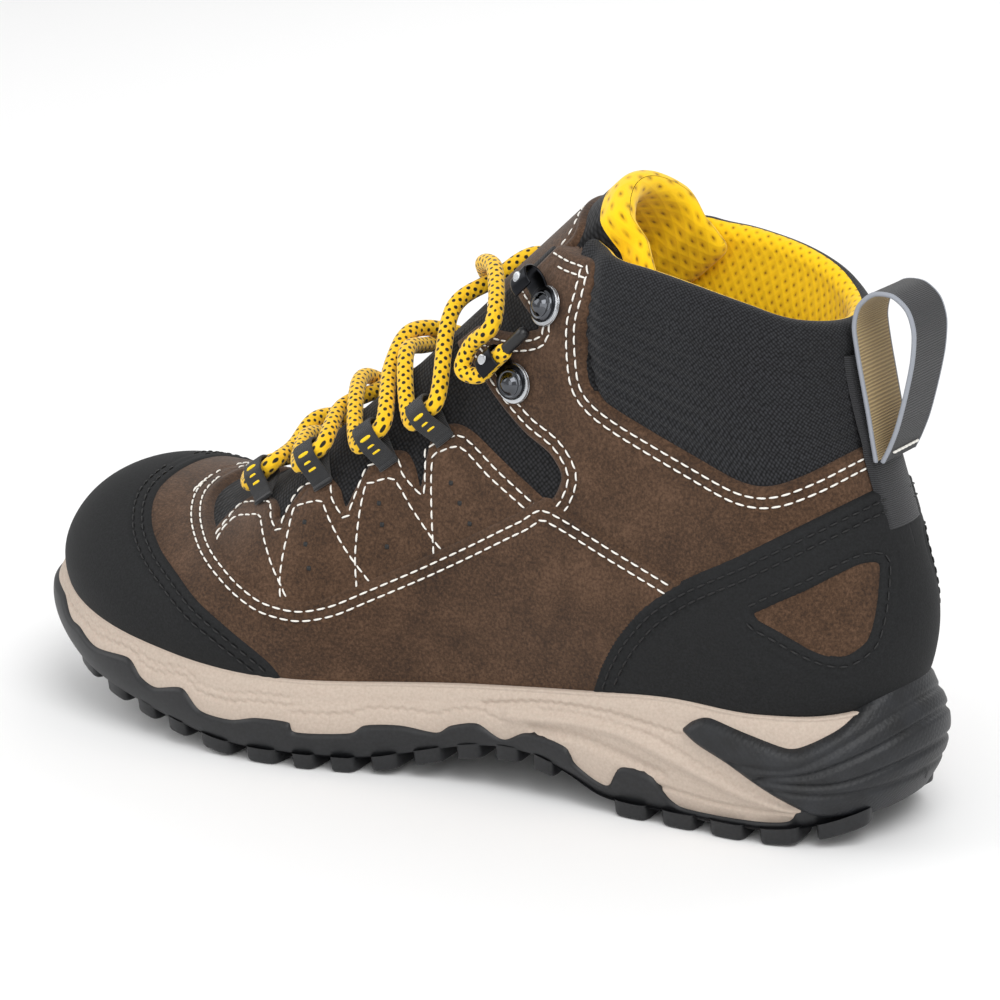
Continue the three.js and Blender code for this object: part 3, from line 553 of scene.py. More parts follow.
def panelDistance(points, edges, closing, side):
    # signed distance to the shown edges, negative inside; closing corners complete the outline
    outline = np.vstack([edges, closing]) if len(closing) else np.asarray(edges)
    x, z = points[:, 0], points[:, 2]
    line, _ = onSkin(edges[:, 0], edges[:, 1], side)
    if not len(closing):
        line = np.vstack([line, line[:1]])
    gap = fromPolyline(points, line)
    return np.where(insideOutline(x, z, outline), -gap, gap)


hem = 2.2                          # how far a panel runs on, hidden, past its shown edge


def edgeHeight(d, height, grooves=(), drop=0.75, roll=1.3, sink=1.5):
    # height - drop * t^2 over the rolled edge, then falling by sink per millimetre of the hem
    t = np.clip((d + roll) / roll, 0, 1)
    h = height - drop * t * t - sink * np.clip(d, 0, hem)
    for place in grooves:
        h = h - 0.32 * np.exp(-((d + place) / 0.7) ** 2)
    return h


def panel(name, edges, closing, height, material, replaces, sides=(1, -1), grooves=(), throat=None,
          hole=None):
    # one sewn piece: the skin grid inside an outline, lifted to its layer, edges turned under
    edgeGap = np.full((rows, cols), 1e3)
    for side in sides:
        pick = lateral if side > 0 else ~lateral
        pts = skin[pick].reshape(-1, 3)
        d = panelDistance(pts, smoothLine(edges), np.array(closing, float).reshape(-1, 2), side)
        if hole is not None:
            inner = smoothLine(list(hole) + [hole[0]])
            d = np.maximum(d, -panelDistance(pts, inner, [], side))
        edgeGap[pick] = d.reshape(-1, cols)
    if len(sides) == 2:
        crest = gridSize["up"] - 1                       # the row both sides share on the top line
        edgeGap[crest] = np.minimum(edgeGap[crest], edgeGap[crest + 1])
    if throat is not None:
        edgeGap = np.maximum(edgeGap, throat - outsideThroat(skin))
    raised = edgeHeight(edgeGap, height, grooves)
    faces = gridFaces(rows, cols)
    keep = (edgeGap.ravel()[faces] < 2.0).any(1)
    uv = np.stack([skin[..., 0], skin[..., 2]], -1)
    item = makeMesh(name, skin + skinOut * raised[..., None], faces[keep], "boot", material, uv,
                    replaces, outward=skinOut)
    closeSeams(item, 0.02)


# heights of the layers over the skin, in the order they are sewn
layers = {"mesh": -1.3, "wave": 0.0, "vamp": 0.95, "cover": 1.7, "window": 0.55}
panel("underlayMesh", [(96, 95), (96, 60), (60, 44), (20, 40), (-30, 55), (-66, 90), (-64, 120),
    (-56, 150), (-50, 164), (-36, 166.5), (-20, 172)], [(20, 200), (96, 200)], layers["mesh"],
    blackMesh, ["mesh_underlay"], throat=-4)
for side, word in bothSides:
    panel("wavePanel." + word, waveEdge, [(-50, 70), (20, 44), (60, 50), (78, 60)], layers["wave"],
          suede, ["side_panel_" + word], (side,), (2.6,), throat=0)
    panel("ankleQuarter." + word, quarterEdge, [(-60, 80), (-90, 60), (-140, 86), (-170, 112)],
          layers["wave"], suede, ["ankle_quarter_" + word], (side,), (2.6, 5.4), throat=0)
panel("vamp", [(-175, 30), (-140, 58)] + vampEdge, [(150, 95), (175, 10), (-175, 10)],
    layers["vamp"], suede, ["vamp"], grooves=(2.7, 5.6))
panel("toeRand", randEdge, [(175, 10), (175, 95)], layers["cover"], microfibre, ["toe_rand"],
      grooves=(3.0, 6.2))
panel("heelCover", counterEdge, [(-175, 120), (-175, 10), (-58, 10)], layers["cover"], microfibre,
      ["heel_counter_cover", "heel_stiffener"], grooves=(3.0, 6.2), hole=windowEdge)
for side, word in bothSides:
    wide = [(-108, 66), (-116, 76), (-140, 92), (-152, 88), (-153, 58), (-140, 50), (-116, 60)]
    panel("windowPatch." + word, wide + wide[:1], [], layers["window"], suede,
          ["window_patch_" + word], (side,))
print("upper panels")

# stitches: short rounded threads along lines on the skin
thread = {"length": 2.8, "gap": 0.8, "radius": 0.31}


def capsules(name, centres, tangents, normals, material, body="boot", size=thread):
    # unit thread: six sides, rounded ends, bent slightly into the leather at both ends
    ring = np.linspace(0, 2 * np.pi, 7)[:-1]
    a = np.array([-1, -0.9, -0.55, 0, 0.55, 0.9, 1.0])
    r = np.array([0.08, 0.62, 0.95, 1, 0.95, 0.62, 0.08])
    half, rad = size["length"] / 2, size["radius"]
    alongT = (a * half)[:, None] * np.ones(len(ring))
    y = (r[:, None] * np.cos(ring)) * rad
    z = (r[:, None] * np.sin(ring)) * rad - (np.abs(a) ** 3 * rad * 0.9)[:, None]
    tangents = unit(tangents - (tangents * normals).sum(-1, keepdims=True) * normals)
    sideways = np.cross(normals, tangents)
    out = y[..., None] * sideways[:, None, None] + z[..., None] * normals[:, None, None]
    pts = centres[:, None, None] + alongT[..., None] * tangents[:, None, None] + out
    makeMesh(name, pts, copiesOf(len(centres), len(a), len(ring)), body, material, outward=out)


def stitchSeats(edges, side, inset, lift, throat=-1e3, rearmost=-1e3):
    # places along an outline moved inwards on the skin by inset, one per thread
    line = smoothLine(edges, 10)
    p, n = onSkin(line[:, 0], line[:, 1], side)
    shifted = p + unit(np.cross(n, unit(np.gradient(p, axis=0)))) * inset
    p2, _ = onSkin(shifted[:, 0], shifted[:, 2], side)
    step = np.linalg.norm(np.diff(p2, axis=0), axis=1)
    s = np.r_[0, np.cumsum(np.where(step > 9, 0, step))]  # a longer step is a jump, not a seam
    at = np.arange(thread["length"] / 2, s[-1], thread["length"] + thread["gap"])
    c = sampled(at, s, p2)
    c, cn = onSkin(c[:, 0], c[:, 2], side)
    t = unit(sampled(at, s, np.gradient(p2, s + 1e-6 * np.arange(len(s)), axis=0)))
    good = np.isfinite(c).all(1) & np.isfinite(t).all(1) & (np.abs(c[:, 1] - middle(c[:, 0])) > 2)
    good &= (c[:, 2] > feather(c[:, 0]) + 2.5) & (c[:, 0] > back(c[:, 2]) + 0.6)
    good &= (outsideThroat(c) > throat) & (c[:, 0] > rearmost)
    return c[good] + cn[good] * lift, t[good], cn[good]


def gather(rowsList):
    return [np.concatenate([r[i] for r in rowsList]) for i in range(3)]


whiteRows, blackRows = [], []
coverLift = layers["cover"] + 0.1
for side in (1, -1):
    for inset in (2.7, 5.6):
        whiteRows.append(stitchSeats(vampEdge[:-1], side, side * inset, layers["vamp"] + 0.12,
                                     rearmost=-88))
    for inset in (2.6, 5.4):
        whiteRows.append(stitchSeats(quarterEdge, side, side * inset, layers["wave"] + 0.15,
                                     inset - 0.6, -140))
    for inset in (3.0, 6.2):
        blackRows.append(stitchSeats(randEdge[1:], side, -side * inset, coverLift))
        blackRows.append(stitchSeats(counterEdge[1:], side, -side * inset, coverLift,
                                     rearmost=-146))
    blackRows.append(stitchSeats(windowEdge + windowEdge[:1], side, side * 2.4, coverLift))
capsules("whiteStitching", *gather(whiteRows), whiteThread)
capsules("blackStitching", *gather(blackRows), blackThread)
print("stitches")

# extra stitches on the wave panels, perforations
innerRows = [[(68.3, 64.6), (67.9, 67.8), (65.3, 70.9), (59.9, 72.7), (52.9, 73.9), (46.5, 68.1),
    (41.6, 62.1), (38.1, 57.7), (35.5, 53.8)], [(37.7, 53.9), (38.5, 59.1), (38.8, 65),
    (38.9, 72.3), (39.3, 78.5), (38, 80.1), (29.9, 82.6), (25.5, 78.5), (18.2, 69.6),
    (10.2, 60.4)], [(14.4, 58.3), (15.4, 67.6), (15.6, 75.1), (15.6, 82.6), (15.1, 89.3),
    (13.5, 90.1), (5.9, 91.9), (-1.7, 83.8), (-8.5, 76.2), (-12, 72.8)], [(-9.2, 71.2),
    (-8.3, 79.3), (-7.5, 86.8), (-6.5, 98.8), (-8, 101.6), (-15.9, 104.3), (-26.6, 97),
    (-38.4, 89.9)]]
outerRow = [(70.1, 65.5), (69, 69.4), (68, 72.6), (65, 74.3), (52, 77.9), (47.2, 74.5),
    (43.1, 72.6), (42.2, 77.2), (40.6, 83), (36.9, 86.1), (28.4, 87.7), (26, 84.2), (21.9, 80.4),
    (19.6, 80), (17.8, 87.5), (16.3, 93.8), (14.3, 95.2), (6, 97.7), (3, 93.8), (-3.7, 89),
    (-4.8, 91), (-4.2, 98.5), (-4.4, 102.6), (-15.8, 107.6), (-29.9, 98.7), (-43.5, 90.4)]
waveRows = []
for side in (1, -1):
    for line in innerRows + [outerRow]:
        waveRows.append(stitchSeats(line, side, 0, layers["wave"] + 0.16))
capsules("waveStitching", *gather(waveRows), whiteThread)
holeAt = np.array([(33.7, 76.3), (31.7, 70.3), (29.4, 63.5), (9.8, 84.6), (8, 78.5), (5.9, 72.1),
    (-13.5, 93.5), (-16.9, 87.9), (-20.6, 82.2)])
dots = []
for side in (1, -1):
    c, n = onSkin(holeAt[:, 0], holeAt[:, 1], side)
    dots.append((c + n * (layers["wave"] - 0.4), np.tile([0.0, 0, 1], (len(c), 1)), n))
capsules("ventHoles", *gather(dots), blackThread, size={"length": 2.2, "radius": 1.0})

# collar: ribbed padded panel round the ankle, rolled top edge, yellow lining
collarForm = {"bulge": 2.3, "ribs": 9, "ribDepth": 0.28, "rimRadius": 4.3, "frontX": -53.0}
lowAt = through([(-160, 126), (-137, 115.5), (-129, 110.6), (-121, 106.8), (-115, 105.6),
    (-108, 106.6), (-96, 111), (-83, 116), (-71, 121), (-61.5, 124.4), (-50, 129)])
topAt = through([(-160, 141), (-140, 143.6), (-129, 147), (-121, 149.2), (-110, 153.6),
    (-98, 157.2), (-78, 161.4), (-67, 163.2), (-60.6, 165.4), (-50, 169)])


def roundAnkle(t, k, low, top, steps=150):
    # columns from the front of one side round the back to the other; t runs up between low and top
    lam = np.sin(np.linspace(0, 1, steps) * np.pi / 2)
    x0 = collarForm["frontX"]
    t = np.asarray(t, float)[:, None]
    x = np.tile(-100.0, (len(t), steps))
    for _ in range(8):
        z = low(x) + (top(x) - low(x)) * t
        x = x0 + (back(z) + k + 0.001 - x0) * lam
    sides = [np.stack([x, middle(x) + s * halfWidth(x, z, s, k) * (lam < 1), z], -1)
             for s in (1, -1)]
    ankle = np.concatenate([sides[0], sides[1][:, ::-1][:, 1:]], 1)
    du, dv = np.gradient(ankle, axis=1), np.gradient(ankle, axis=0)
    n = np.cross(du, dv)
    n *= np.sign(n[:, :1, 1:2])
    return ankle, unit(n), unit(dv)


def uvOf(grid):
    # lengths along the rows and the columns, millimetres
    a = np.r_["0,2", np.zeros((1, grid.shape[1])),
              np.cumsum(np.linalg.norm(np.diff(grid, axis=0), axis=2), 0)]
    b = np.c_[np.zeros(grid.shape[0]), np.cumsum(np.linalg.norm(np.diff(grid, axis=1), axis=2), 1)]
    return np.stack([b[len(b) // 2][None, :] + 0 * a, a[:, a.shape[1] // 2][:, None] + 0 * b], -1)


tUp = np.linspace(-0.1, 1, 130)
ankle, ankleOut, ankleUp = roundAnkle(tUp, 0, lowAt, topAt)
tc = np.clip(tUp, 0, 1)
# bulge: 1.25 bulge sin(t)^0.7 from a sunk lower edge, a seam under the rim, then the ribs
swell = np.clip(np.sin(np.clip(tc * 1.15, 0, 1) * np.pi / 2), 0, 1) ** 0.7
lift = collarForm["bulge"] * 1.25 * swell - 1.9 - 0.5 * np.exp(-((tc - 0.86) / 0.03) ** 2)
ribs = collarForm["ribDepth"] * np.sin(tc * 2 * np.pi * collarForm["ribs"])
lift += np.where((tc > 0.1) & (tc < 0.8), ribs, 0)
frontDip = 2.5 * ease(-66, -57.5, ankle[..., 0])
body = ankle + ankleOut * (lift[:, None] - frontDip)[..., None]
angle = np.linspace(0, np.pi, 26)[1:]
rim = collarForm["rimRadius"]
topPoint, topNormal = body[-1], ankleOut[-1]
topUp = unit(ankleUp[-1] - (ankleUp[-1] * topNormal).sum(-1, keepdims=True) * topNormal)
centre = topPoint - topNormal * rim
roll = centre[None] + rim * (topNormal[None] * np.cos(angle)[:, None, None]
                             + topUp[None] * 1.1 * np.sin(angle)[:, None, None])
outer = np.concatenate([body, roll[:13]])
outN = np.concatenate([ankleOut, np.tile(topNormal, (13, 1, 1))])
collarPiece = makeMesh("collarRibbed", outer, gridFaces(*outer.shape[:2]), "boot", ribKnit,
    uvOf(outer), ["collar_panel_lateral", "collar_panel_medial", "padding_collar_lateral",
    "padding_collar_medial", "padding_heel"], outward=outN)
down = np.linspace(1, 0, 90)
inQ, inN, _ = roundAnkle(down[::-1], 8.2, lambda x: 40 + 0 * x, lambda x: topAt(x) - 5)
inQ, inN = inQ[::-1], inN[::-1]
puff = 1.8 * np.exp(-((down - 0.82) / 0.13) ** 2) - 1.2 * np.exp(-((down - 0.55) / 0.14) ** 2)
inner = inQ - inN * puff[:, None, None]
settled = ease(1, 0.9, down)[:, None, None]
inner = inner * settled + (roll[-1][None] + (inner - inner[0][None])) * (1 - settled)
yellow = np.concatenate([roll[12:], inner])
yellowOut = np.concatenate([np.tile(topUp, (13, 1, 1)), -inN])
liningPiece = makeMesh("collarLining", yellow, gridFaces(*yellow.shape[:2]), "boot", yellowMesh,
                       uvOf(yellow), ["collar_lining"], outward=yellowOut)
coarse, coarseN = skin[::2, ::2], skinOut[::2, ::2]
far = coarse - coarseN * 8.0                              # the lining lies 8 mm inside the skin
kept = (outsideThroat(coarse) > 3.5) & (coarse[..., 0] > -70) & (coarse[..., 0] < 128)
kept &= far[..., 2] < 163
farFaces = gridFaces(*far.shape[:2])
farFaces = farFaces[kept.ravel()[farFaces].all(1)]
makeMesh("footLining", far, farFaces, "boot", blackMesh, far[..., [0, 2]],
         ["foot_lining", "padding_toe", "padding_side_lateral", "padding_side_medial", "toe_puff"],
         outward=-coarseN)
print("collar and linings")

# tongue
tongueForm = {"sMin": -27.0, "sTop": 160.0, "thick": 5.0, "topThick": 8.0, "face": 3.3}


def onRay(s, phi, k):
    # point of the skin (k inside it) on a ray from the foot's middle, 34 below the instep line
    s, phi, k = np.broadcast_arrays(s, phi, k)
    outward = -inward
    c = gapStart + along * s[..., None] - outward * 34
    ray = outward * np.cos(phi)[..., None] + np.array([0, 1.0, 0]) * np.sin(phi)[..., None]
    lo, hi = np.full(s.shape, 1.0), np.full(s.shape, 60.0)
    side = np.where(phi >= 0, 1, -1)
    for _ in range(26):
        r = (lo + hi) / 2
        p = c + ray * r[..., None]
        w = halfWidth(p[..., 0], p[..., 2], side, k)
        roof = p[..., 2] < instep(p[..., 0]) - k
        inside = (w > np.abs(p[..., 1] - middle(p[..., 0]))) & roof
        lo, hi = np.where(inside, r, lo), np.where(inside, hi, r)
    return c + ray * lo[..., None]


def spread(s):
    # half angle of the tongue: narrow in the lace gap, wrapping the ankle at the top
    return np.radians(39 + 50 * ease(105, 146, s))


sList = np.r_[np.linspace(tongueForm["sMin"], 150, 150), np.linspace(150.8, tongueForm["sTop"] - 4,
    10)]
alpha = np.linspace(0, np.pi / 2, 9)[1:]
nPhi = 64
phiUnit = np.linspace(-1, 1, nPhi)


def tongueSink(phi):
    # the face lies deeper towards its wings, where the padding of the collar covers it
    return tongueForm["face"] + 6.4 * ease(0.75, 1.15, np.abs(phi))


def tongueSection(s, closing):
    # outer and inner line of one section; closing shrinks the thickness to round the top off
    phi = spread(s) * phiUnit
    lowered = s - 3.0 * (np.abs(phi) / 1.5) ** 2
    thin, full = tongueForm["thick"], tongueForm["topThick"]
    thickness = thin + (full - thin) * ease(118, 140, s)
    thickness = thickness * (1 - 0.35 * ease(0.75, 1.15, np.abs(phi)))
    face = tongueSink(phi) + thickness * (1 - closing) / 2
    return onRay(lowered, phi, face), onRay(lowered, phi, face + thickness * closing)


sections = [tongueSection(s, 1.0) for s in sList]
sections += [tongueSection(sList[-1] + 4 * math.sin(a), max(math.cos(a), 0.02)) for a in alpha]
outerT, innerT = np.array(sections).swapaxes(0, 1)
capStep = np.linspace(0, np.pi, 9)[1:-1]


def cap(o, i, tangent):
    mid, half = (o + i) / 2, (o - i) / 2
    size = np.linalg.norm(half, axis=-1, keepdims=True)
    return np.stack([mid + half * math.cos(a) + tangent * size * math.sin(a) for a in capStep], 1)


tanHigh = unit(outerT[:, -1] - outerT[:, -2])
tanLow = unit(outerT[:, 0] - outerT[:, 1])
loop = np.concatenate([outerT, cap(outerT[:, -1], innerT[:, -1], tanHigh), innerT[:, ::-1],
                       cap(innerT[:, 0], outerT[:, 0], tanLow)], 1)
loop = np.concatenate([loop, loop[:, :1]], 1)
loopOut = loop - loop.mean(1, keepdims=True)
loopUv = uvOf(loop)
faces = gridFaces(loop.shape[0], loop.shape[1])
colOf, rowOf = faces[:, 0] % loop.shape[1], faces[:, 0] // loop.shape[1]
# the lining wraps round the two edges at the top, so those columns are not part of the face
wing = (sList[np.minimum(rowOf, len(sList) - 1)] > 118) & ((colOf < 4) | (colOf > nPhi - 6))
isFace = (colOf < nPhi - 1) & (rowOf < len(sList) - 8) & ~wing
faceN = np.zeros_like(loop)
faceN[:, :nPhi] = outerT - innerT
faceN[:, nPhi:] = loopOut[:, nPhi:]
tongueBlack = makeMesh("tongueFace", loop, faces[isFace], "tongue", blackMesh, loopUv,
                       ["tongue_face", "tongue_foam"], outward=faceN)
backN = np.zeros_like(loop)
backN[:, nPhi + 7:2 * nPhi + 7] = (innerT - outerT)[:, ::-1]
tongueYellow = makeMesh("tongueBack", loop, faces[~isFace], "tongue", yellowMesh, loopUv,
                        ["tongue_lining"], outward=backN)
closeSeams(tongueYellow, 0.004)


def tonguePatch():
    # suede patch on the face: rounded rectangle in arc length, stitched round
    around, halfWide, halfHigh, corner, centreS = 27, 21, 24, 5, 120
    s = np.linspace(100, 147, 90)[:, None]
    phi = np.radians(np.linspace(-62, 62, 130))[None]
    base = onRay(s, phi, tongueSink(phi))
    n = unit(np.cross(np.gradient(base, axis=1), np.gradient(base, axis=0)))
    n *= np.sign((n * -inward).sum(-1, keepdims=True).mean())
    qx, qz = np.abs(phi * around) - halfWide + corner, np.abs(s - centreS) - halfHigh + corner
    d = np.hypot(np.maximum(qx, 0), np.maximum(qz, 0)) + np.minimum(np.maximum(qx, qz), 0) - corner
    h = edgeHeight(d, 1.5, (2.4,))
    faces = gridFaces(*base.shape[:2])
    faces = faces[(d.ravel()[faces] < 1.5).any(1)]
    makeMesh("tonguePatch", base + n * h[..., None], faces, "tongue", suede, base[..., [0, 2]],
             ["tongue_patch"], outward=n)
    across, up = squarish(np.linspace(0, 2 * np.pi, 400), 0.35)
    phi, s = 18.4 * across / around, centreS + 21.4 * up
    line = onRay(s, phi, tongueForm["face"])
    run = runLength(line)
    at = np.arange(1.4, run[-1], 3.65)
    c, t = sampled(at, run, line), unit(sampled(at, run, np.gradient(line, axis=0)))
    beneath = onRay(np.interp(at, run, s), np.interp(at, run, phi), tongueForm["face"] + 2)
    n = unit(c - beneath)
    capsules("tonguePatchStitching", c + n * 1.45, t, n, whiteThread, body="tongue")


tonguePatch()
print("tongue")

# sole
soleForm = {"lugDepth": 4.6, "flare": 4.2, "sidewall": 1.2, "cup": 2.7}
flareShape = through([(-1, -3), (0, -0.5), (0.25, 0.55), (0.55, 1), (0.85, 0.7), (1, 0.25),
    (2.4, 0.7)])


def soleWidth(x, side):
    n = np.clip((x - last["noseStart"]) / (last["toeTip"] - last["noseStart"]), 0, 1)
    m = np.clip((back(44) + 46 - x) / 46, 0, 1)
    mix = ease(-68, 37, x)
    w = np.where(side > 0, outerWidth(x), innerWidth(x)) * mix + shaft(42) * (1 - mix)
    return w * np.sqrt(np.clip(1 - n ** 2.6, 0, 1)) * np.sqrt(np.clip(1 - m ** 2.3, 0, 1))


def planPoint(turn, t, extra):
    # ellipse-like walk round the plan, pushed out along its normal by the flare and by extra
    mid, half = (last["toeTip"] + back(44)) / 2, (last["toeTip"] - back(44)) / 2

    def at(a):
        x = mid + half * np.cos(a)
        side = np.where(np.sin(a) >= 0, 1, -1)
        return x, middle(x) + side * soleWidth(x, side)
    a = turn * 2 * np.pi
    (x, y), (qx, qy), (rx, ry) = at(a), at(a - 0.02), at(a + 0.02)
    size = np.hypot(rx - qx, ry - qy)
    grow = (soleForm["flare"] + 2 * (np.abs(x) / 150) ** 6) * flareShape(t) + extra
    return x + (ry - qy) / size * grow, y - (rx - qx) / size * grow, x


def evenTurns(count):
    # turns spaced evenly by length round the plan
    turn = np.linspace(0, 1, 6000)
    x, y, _ = planPoint(turn, 0.5, 0)
    s = np.r_[0, np.cumsum(np.hypot(np.diff(x), np.diff(y)))]
    return np.interp(np.linspace(0, 1, count, endpoint=False) * s[-1], s, turn)


def lineDistance(x, z, line):
    # distance in side view to a smooth line
    return fromPolyline(np.stack([x.ravel(), z.ravel()], -1), smoothLine(line)).reshape(x.shape)


def soleGrid(t, turns):
    # wall between the tread (t = 0) and the feather edge (t = 1), with its outward direction
    high, turn = np.meshgrid(t, turns, indexing="ij")
    x, y, xs = planPoint(turn, high, 0)
    z0, z1 = tread(x), feather(xs) - 0.15
    pos = np.stack([x, y, z0 + (z1 - z0) * high], -1)
    x2, y2, _ = planPoint(turn, high, 1)
    out = unit(np.stack([x2 - x, y2 - y, 0 * x], -1))
    return pos, out


turns = evenTurns(900)
tSole = np.linspace(0.02, 1.0, 84)
base, outDir = soleGrid(tSole, turns)
wallX, wallZ = base[..., 0], base[..., 2]
rubberEdge = smoothLine([(-175, 12), (-134, 13.5), (-126, 7), (-111, 6), (-95, 6), (-90, 8),
    (-84, 15), (-74, 16), (-69, 9), (-64, 10), (-58, 14), (-55, 19), (-42, 21), (-33, 17),
    (-25, 21), (-16, 19), (-11, 16), (0, 17), (11, 16), (16, 13), (32, 12), (34, 15), (45, 15),
    (54, 13), (65, 14), (72, 20), (83, 18), (89, 20), (95, 25), (111, 25), (123, 31), (131, 40),
    (138, 42), (175, 44)], 10)
order = np.argsort(rubberEdge[:, 0])
edgeX, edgeZ = rubberEdge[order, 0], rubberEdge[order, 1]


def rubberTop(x):
    return np.interp(x, edgeX, edgeZ) - ease(118, 132, x) * 7


zig = 0.55 * (2 * np.abs((wallX / 3.4) % 1 - 0.5) - 0.5) * 2
mid1 = rubberTop(wallX) + (feather(wallX) - rubberTop(wallX)) * 0.42 + zig
frontHalf = ease(-40, -28, wallX)
relief = -0.55 * np.exp(-((wallZ - mid1) / 0.5) ** 2) * frontHalf
relief += -0.4 * np.exp(-((wallZ - mid1 - 2.4) / 0.45) ** 2) * frontHalf * ease(20, 40, wallX)
for line, depth, width, wave in (
        ([(-36, 25.5), (-58, 27.6), (-76, 26.5), (-95, 21), (-115, 15), (-134, 9.5)], 1.3, 2.1, 0),
        ([(-44, 23), (-58, 23), (-72, 20.5), (-88, 16.5)], -1.2, 1.5, 1),
        ([(-26, 27.5), (-48, 31.3), (-70, 32), (-94, 29.6)], -0.8, 0.6, 1),
        ([(-86, 12.4), (-105, 10.6), (-130, 10.4)], -0.7, 0.6, 0),
        ([(-46, 28.6), (-62, 29.6), (-84, 27.4), (-104, 20.6), (-128, 12.6)], -0.7, 0.9, 1)):
    relief += depth * np.exp(-(lineDistance(wallX, wallZ + wave * zig * 0.8, line) / width) ** 2)
relief *= np.clip((1 - tSole)[:, None] / 0.06, 0, 1)
relief += 0.95 * ease(0.8, 0.97, tSole)[:, None]
side = base + outDir * relief[..., None]
lipUp = [(0.35, 0.25), (0.75, 0.0), (0.95, -0.7), (1.0, -2.0), (0.9, -5.4)]
lip = [side[-1] + outDir[-1] * o + np.array([0, 0, u]) for u, o in lipUp]
whole = np.concatenate([side, np.array(lip)])
soleOut = np.concatenate([outDir, np.tile(outDir[-1], (len(lip), 1, 1))])
wholeFaces = gridFaces(*whole.shape[:2], wrapCols=True)
tucked = (whole[..., 2] > rubberTop(whole[..., 0]) - 1.2).ravel()
wholeFaces = wholeFaces[tucked[wholeFaces].any(1)]
makeMesh("midsoleWall", whole, wholeFaces, "boot", foam,
         whole[..., [0, 2]], ["midsole", "shank"], outward=soleOut)

wallT = np.linspace(-0.02, 1.0, 90)
wBase, wOut = soleGrid(wallT, turns)
floorLine, topEdge = tread(wBase[..., 0]), rubberTop(wBase[..., 0])
wBase[..., 2] = np.maximum(wBase[..., 2], floorLine + 0.2)
edgeGap = wBase[..., 2] - topEdge
raised = edgeHeight(edgeGap, soleForm["sidewall"], drop=0.9, roll=1.4, sink=1.6)
# below its shown edge the wall stops at the root of the lugs
root = np.maximum(wBase[..., 2], np.minimum(floorLine + soleForm["lugDepth"], topEdge - 2.5))
wallPos = wBase + wOut * raised[..., None]
wallPos[..., 2] = np.where(edgeGap < 0, root, wBase[..., 2])
wallFaces = gridFaces(*wallPos.shape[:2], wrapCols=True)
wallFaces = wallFaces[(edgeGap.ravel()[wallFaces] < 1.4).any(1)]
makeMesh("outsoleWall", wallPos, wallFaces, "boot", rubber, wallPos[..., [0, 2]], ["outsole"],
         outward=wOut)

edgeTurn = np.linspace(0, 1, 2400)
ex, ey, _ = planPoint(edgeTurn, 0.22, soleForm["sidewall"])


def rimY(x, side):
    # outer edge of the tread at a station, for one side
    pick = (ey > middle(ex)) if side > 0 else (ey <= middle(ex))
    o = np.argsort(ex[pick])
    return np.interp(x, ex[pick][o], ey[pick][o])


plateX = np.linspace(-158, 155, 260)[:, None]
acrossV = np.sin(np.linspace(-1, 1, 50) * np.pi / 2)[None]
yHigh, yLow = rimY(plateX, 1) - 0.5, rimY(plateX, -1) + 0.5
plate = np.stack([plateX + 0 * acrossV, (yHigh + yLow) / 2 + (yHigh - yLow) / 2 * acrossV,
                  tread(plateX) + soleForm["lugDepth"] + 0 * acrossV], -1)
makeMesh("outsolePlate", plate, gridFaces(*plate.shape[:2]), "boot", rubber, plate[..., :2],
    ["lasting_board"], outward=np.broadcast_to([0, 0, -1.0], plate.shape))

# one block of the tread: rows of scale and height from the flat face up to the plate
lugU, lugV = squarish(np.linspace(0, 2 * np.pi, 29)[:-1], 0.42)
lugRows = [(0.02, 0.05), (0.5, 0.05), (0.84, 0.08), (0.93, 0.35), (0.965, 0.9), (0.985, 2.4),
    (1.03, 5.2)]


def lugPoints(place):
    # place(u, v) gives x and y for u and v from -1 to 1
    pts = []
    for scale, up in lugRows:
        x, y = place(lugU * scale, lugV * scale)
        pts.append(np.stack([x, y, tread(x) + up], -1))
    return np.array(pts)


lugSets, halfGroove = [], 1.9
gaps = [150, 130, 113, 98, 85, 72, 55, 39, 27, 15, 2, -12, -25, -38, -50]
heelGaps = [-66, -82, -98, -114, -130, -147]
for stations, depth in ((gaps, 24), (heelGaps, 19)):
    for a, b in zip(stations[:-1], stations[1:]):
        for side in (1, -1):
            lo, hi = b + halfGroove, a - halfGroove
            inner = min(depth, 0.5 * abs(rimY((lo + hi) / 2, side) - middle((lo + hi) / 2)))

            def place(u, v, lo=lo, hi=hi, side=side, inner=inner):
                x = (lo + hi) / 2 + u * (hi - lo) / 2
                y0, y1 = middle(x) + side * inner, rimY(x, side) + side * 0.15
                k = (v + 1) / 2
                return x - 2.5 * k, y0 + (y1 - y0) * k
            lugSets.append(lugPoints(place))
for xc in (133, 108, 84, 60, 36, 12, -14):
    lugSets.append(lugPoints(lambda u, v, xc=xc: (xc + 4.6 * u - 7 * np.abs(v) ** 1.5,
                                                  middle(xc) + v * (11 if xc > 120 else 17))))
for xc in (-80, -104, -128):
    lugSets.append(lugPoints(lambda u, v, xc=xc: (xc + 6.5 * u + 3 * np.abs(v) ** 1.5,
                                                  middleShift + v * 12)))
lugs = np.array(lugSets)
lugOut = lugs - lugs.mean((1, 2), keepdims=True) - [0, 0, 3]
makeMesh("outsoleLugs", lugs, copiesOf(*lugs.shape[:3]), "boot", rubber, lugs[..., :2],
         outward=lugOut)

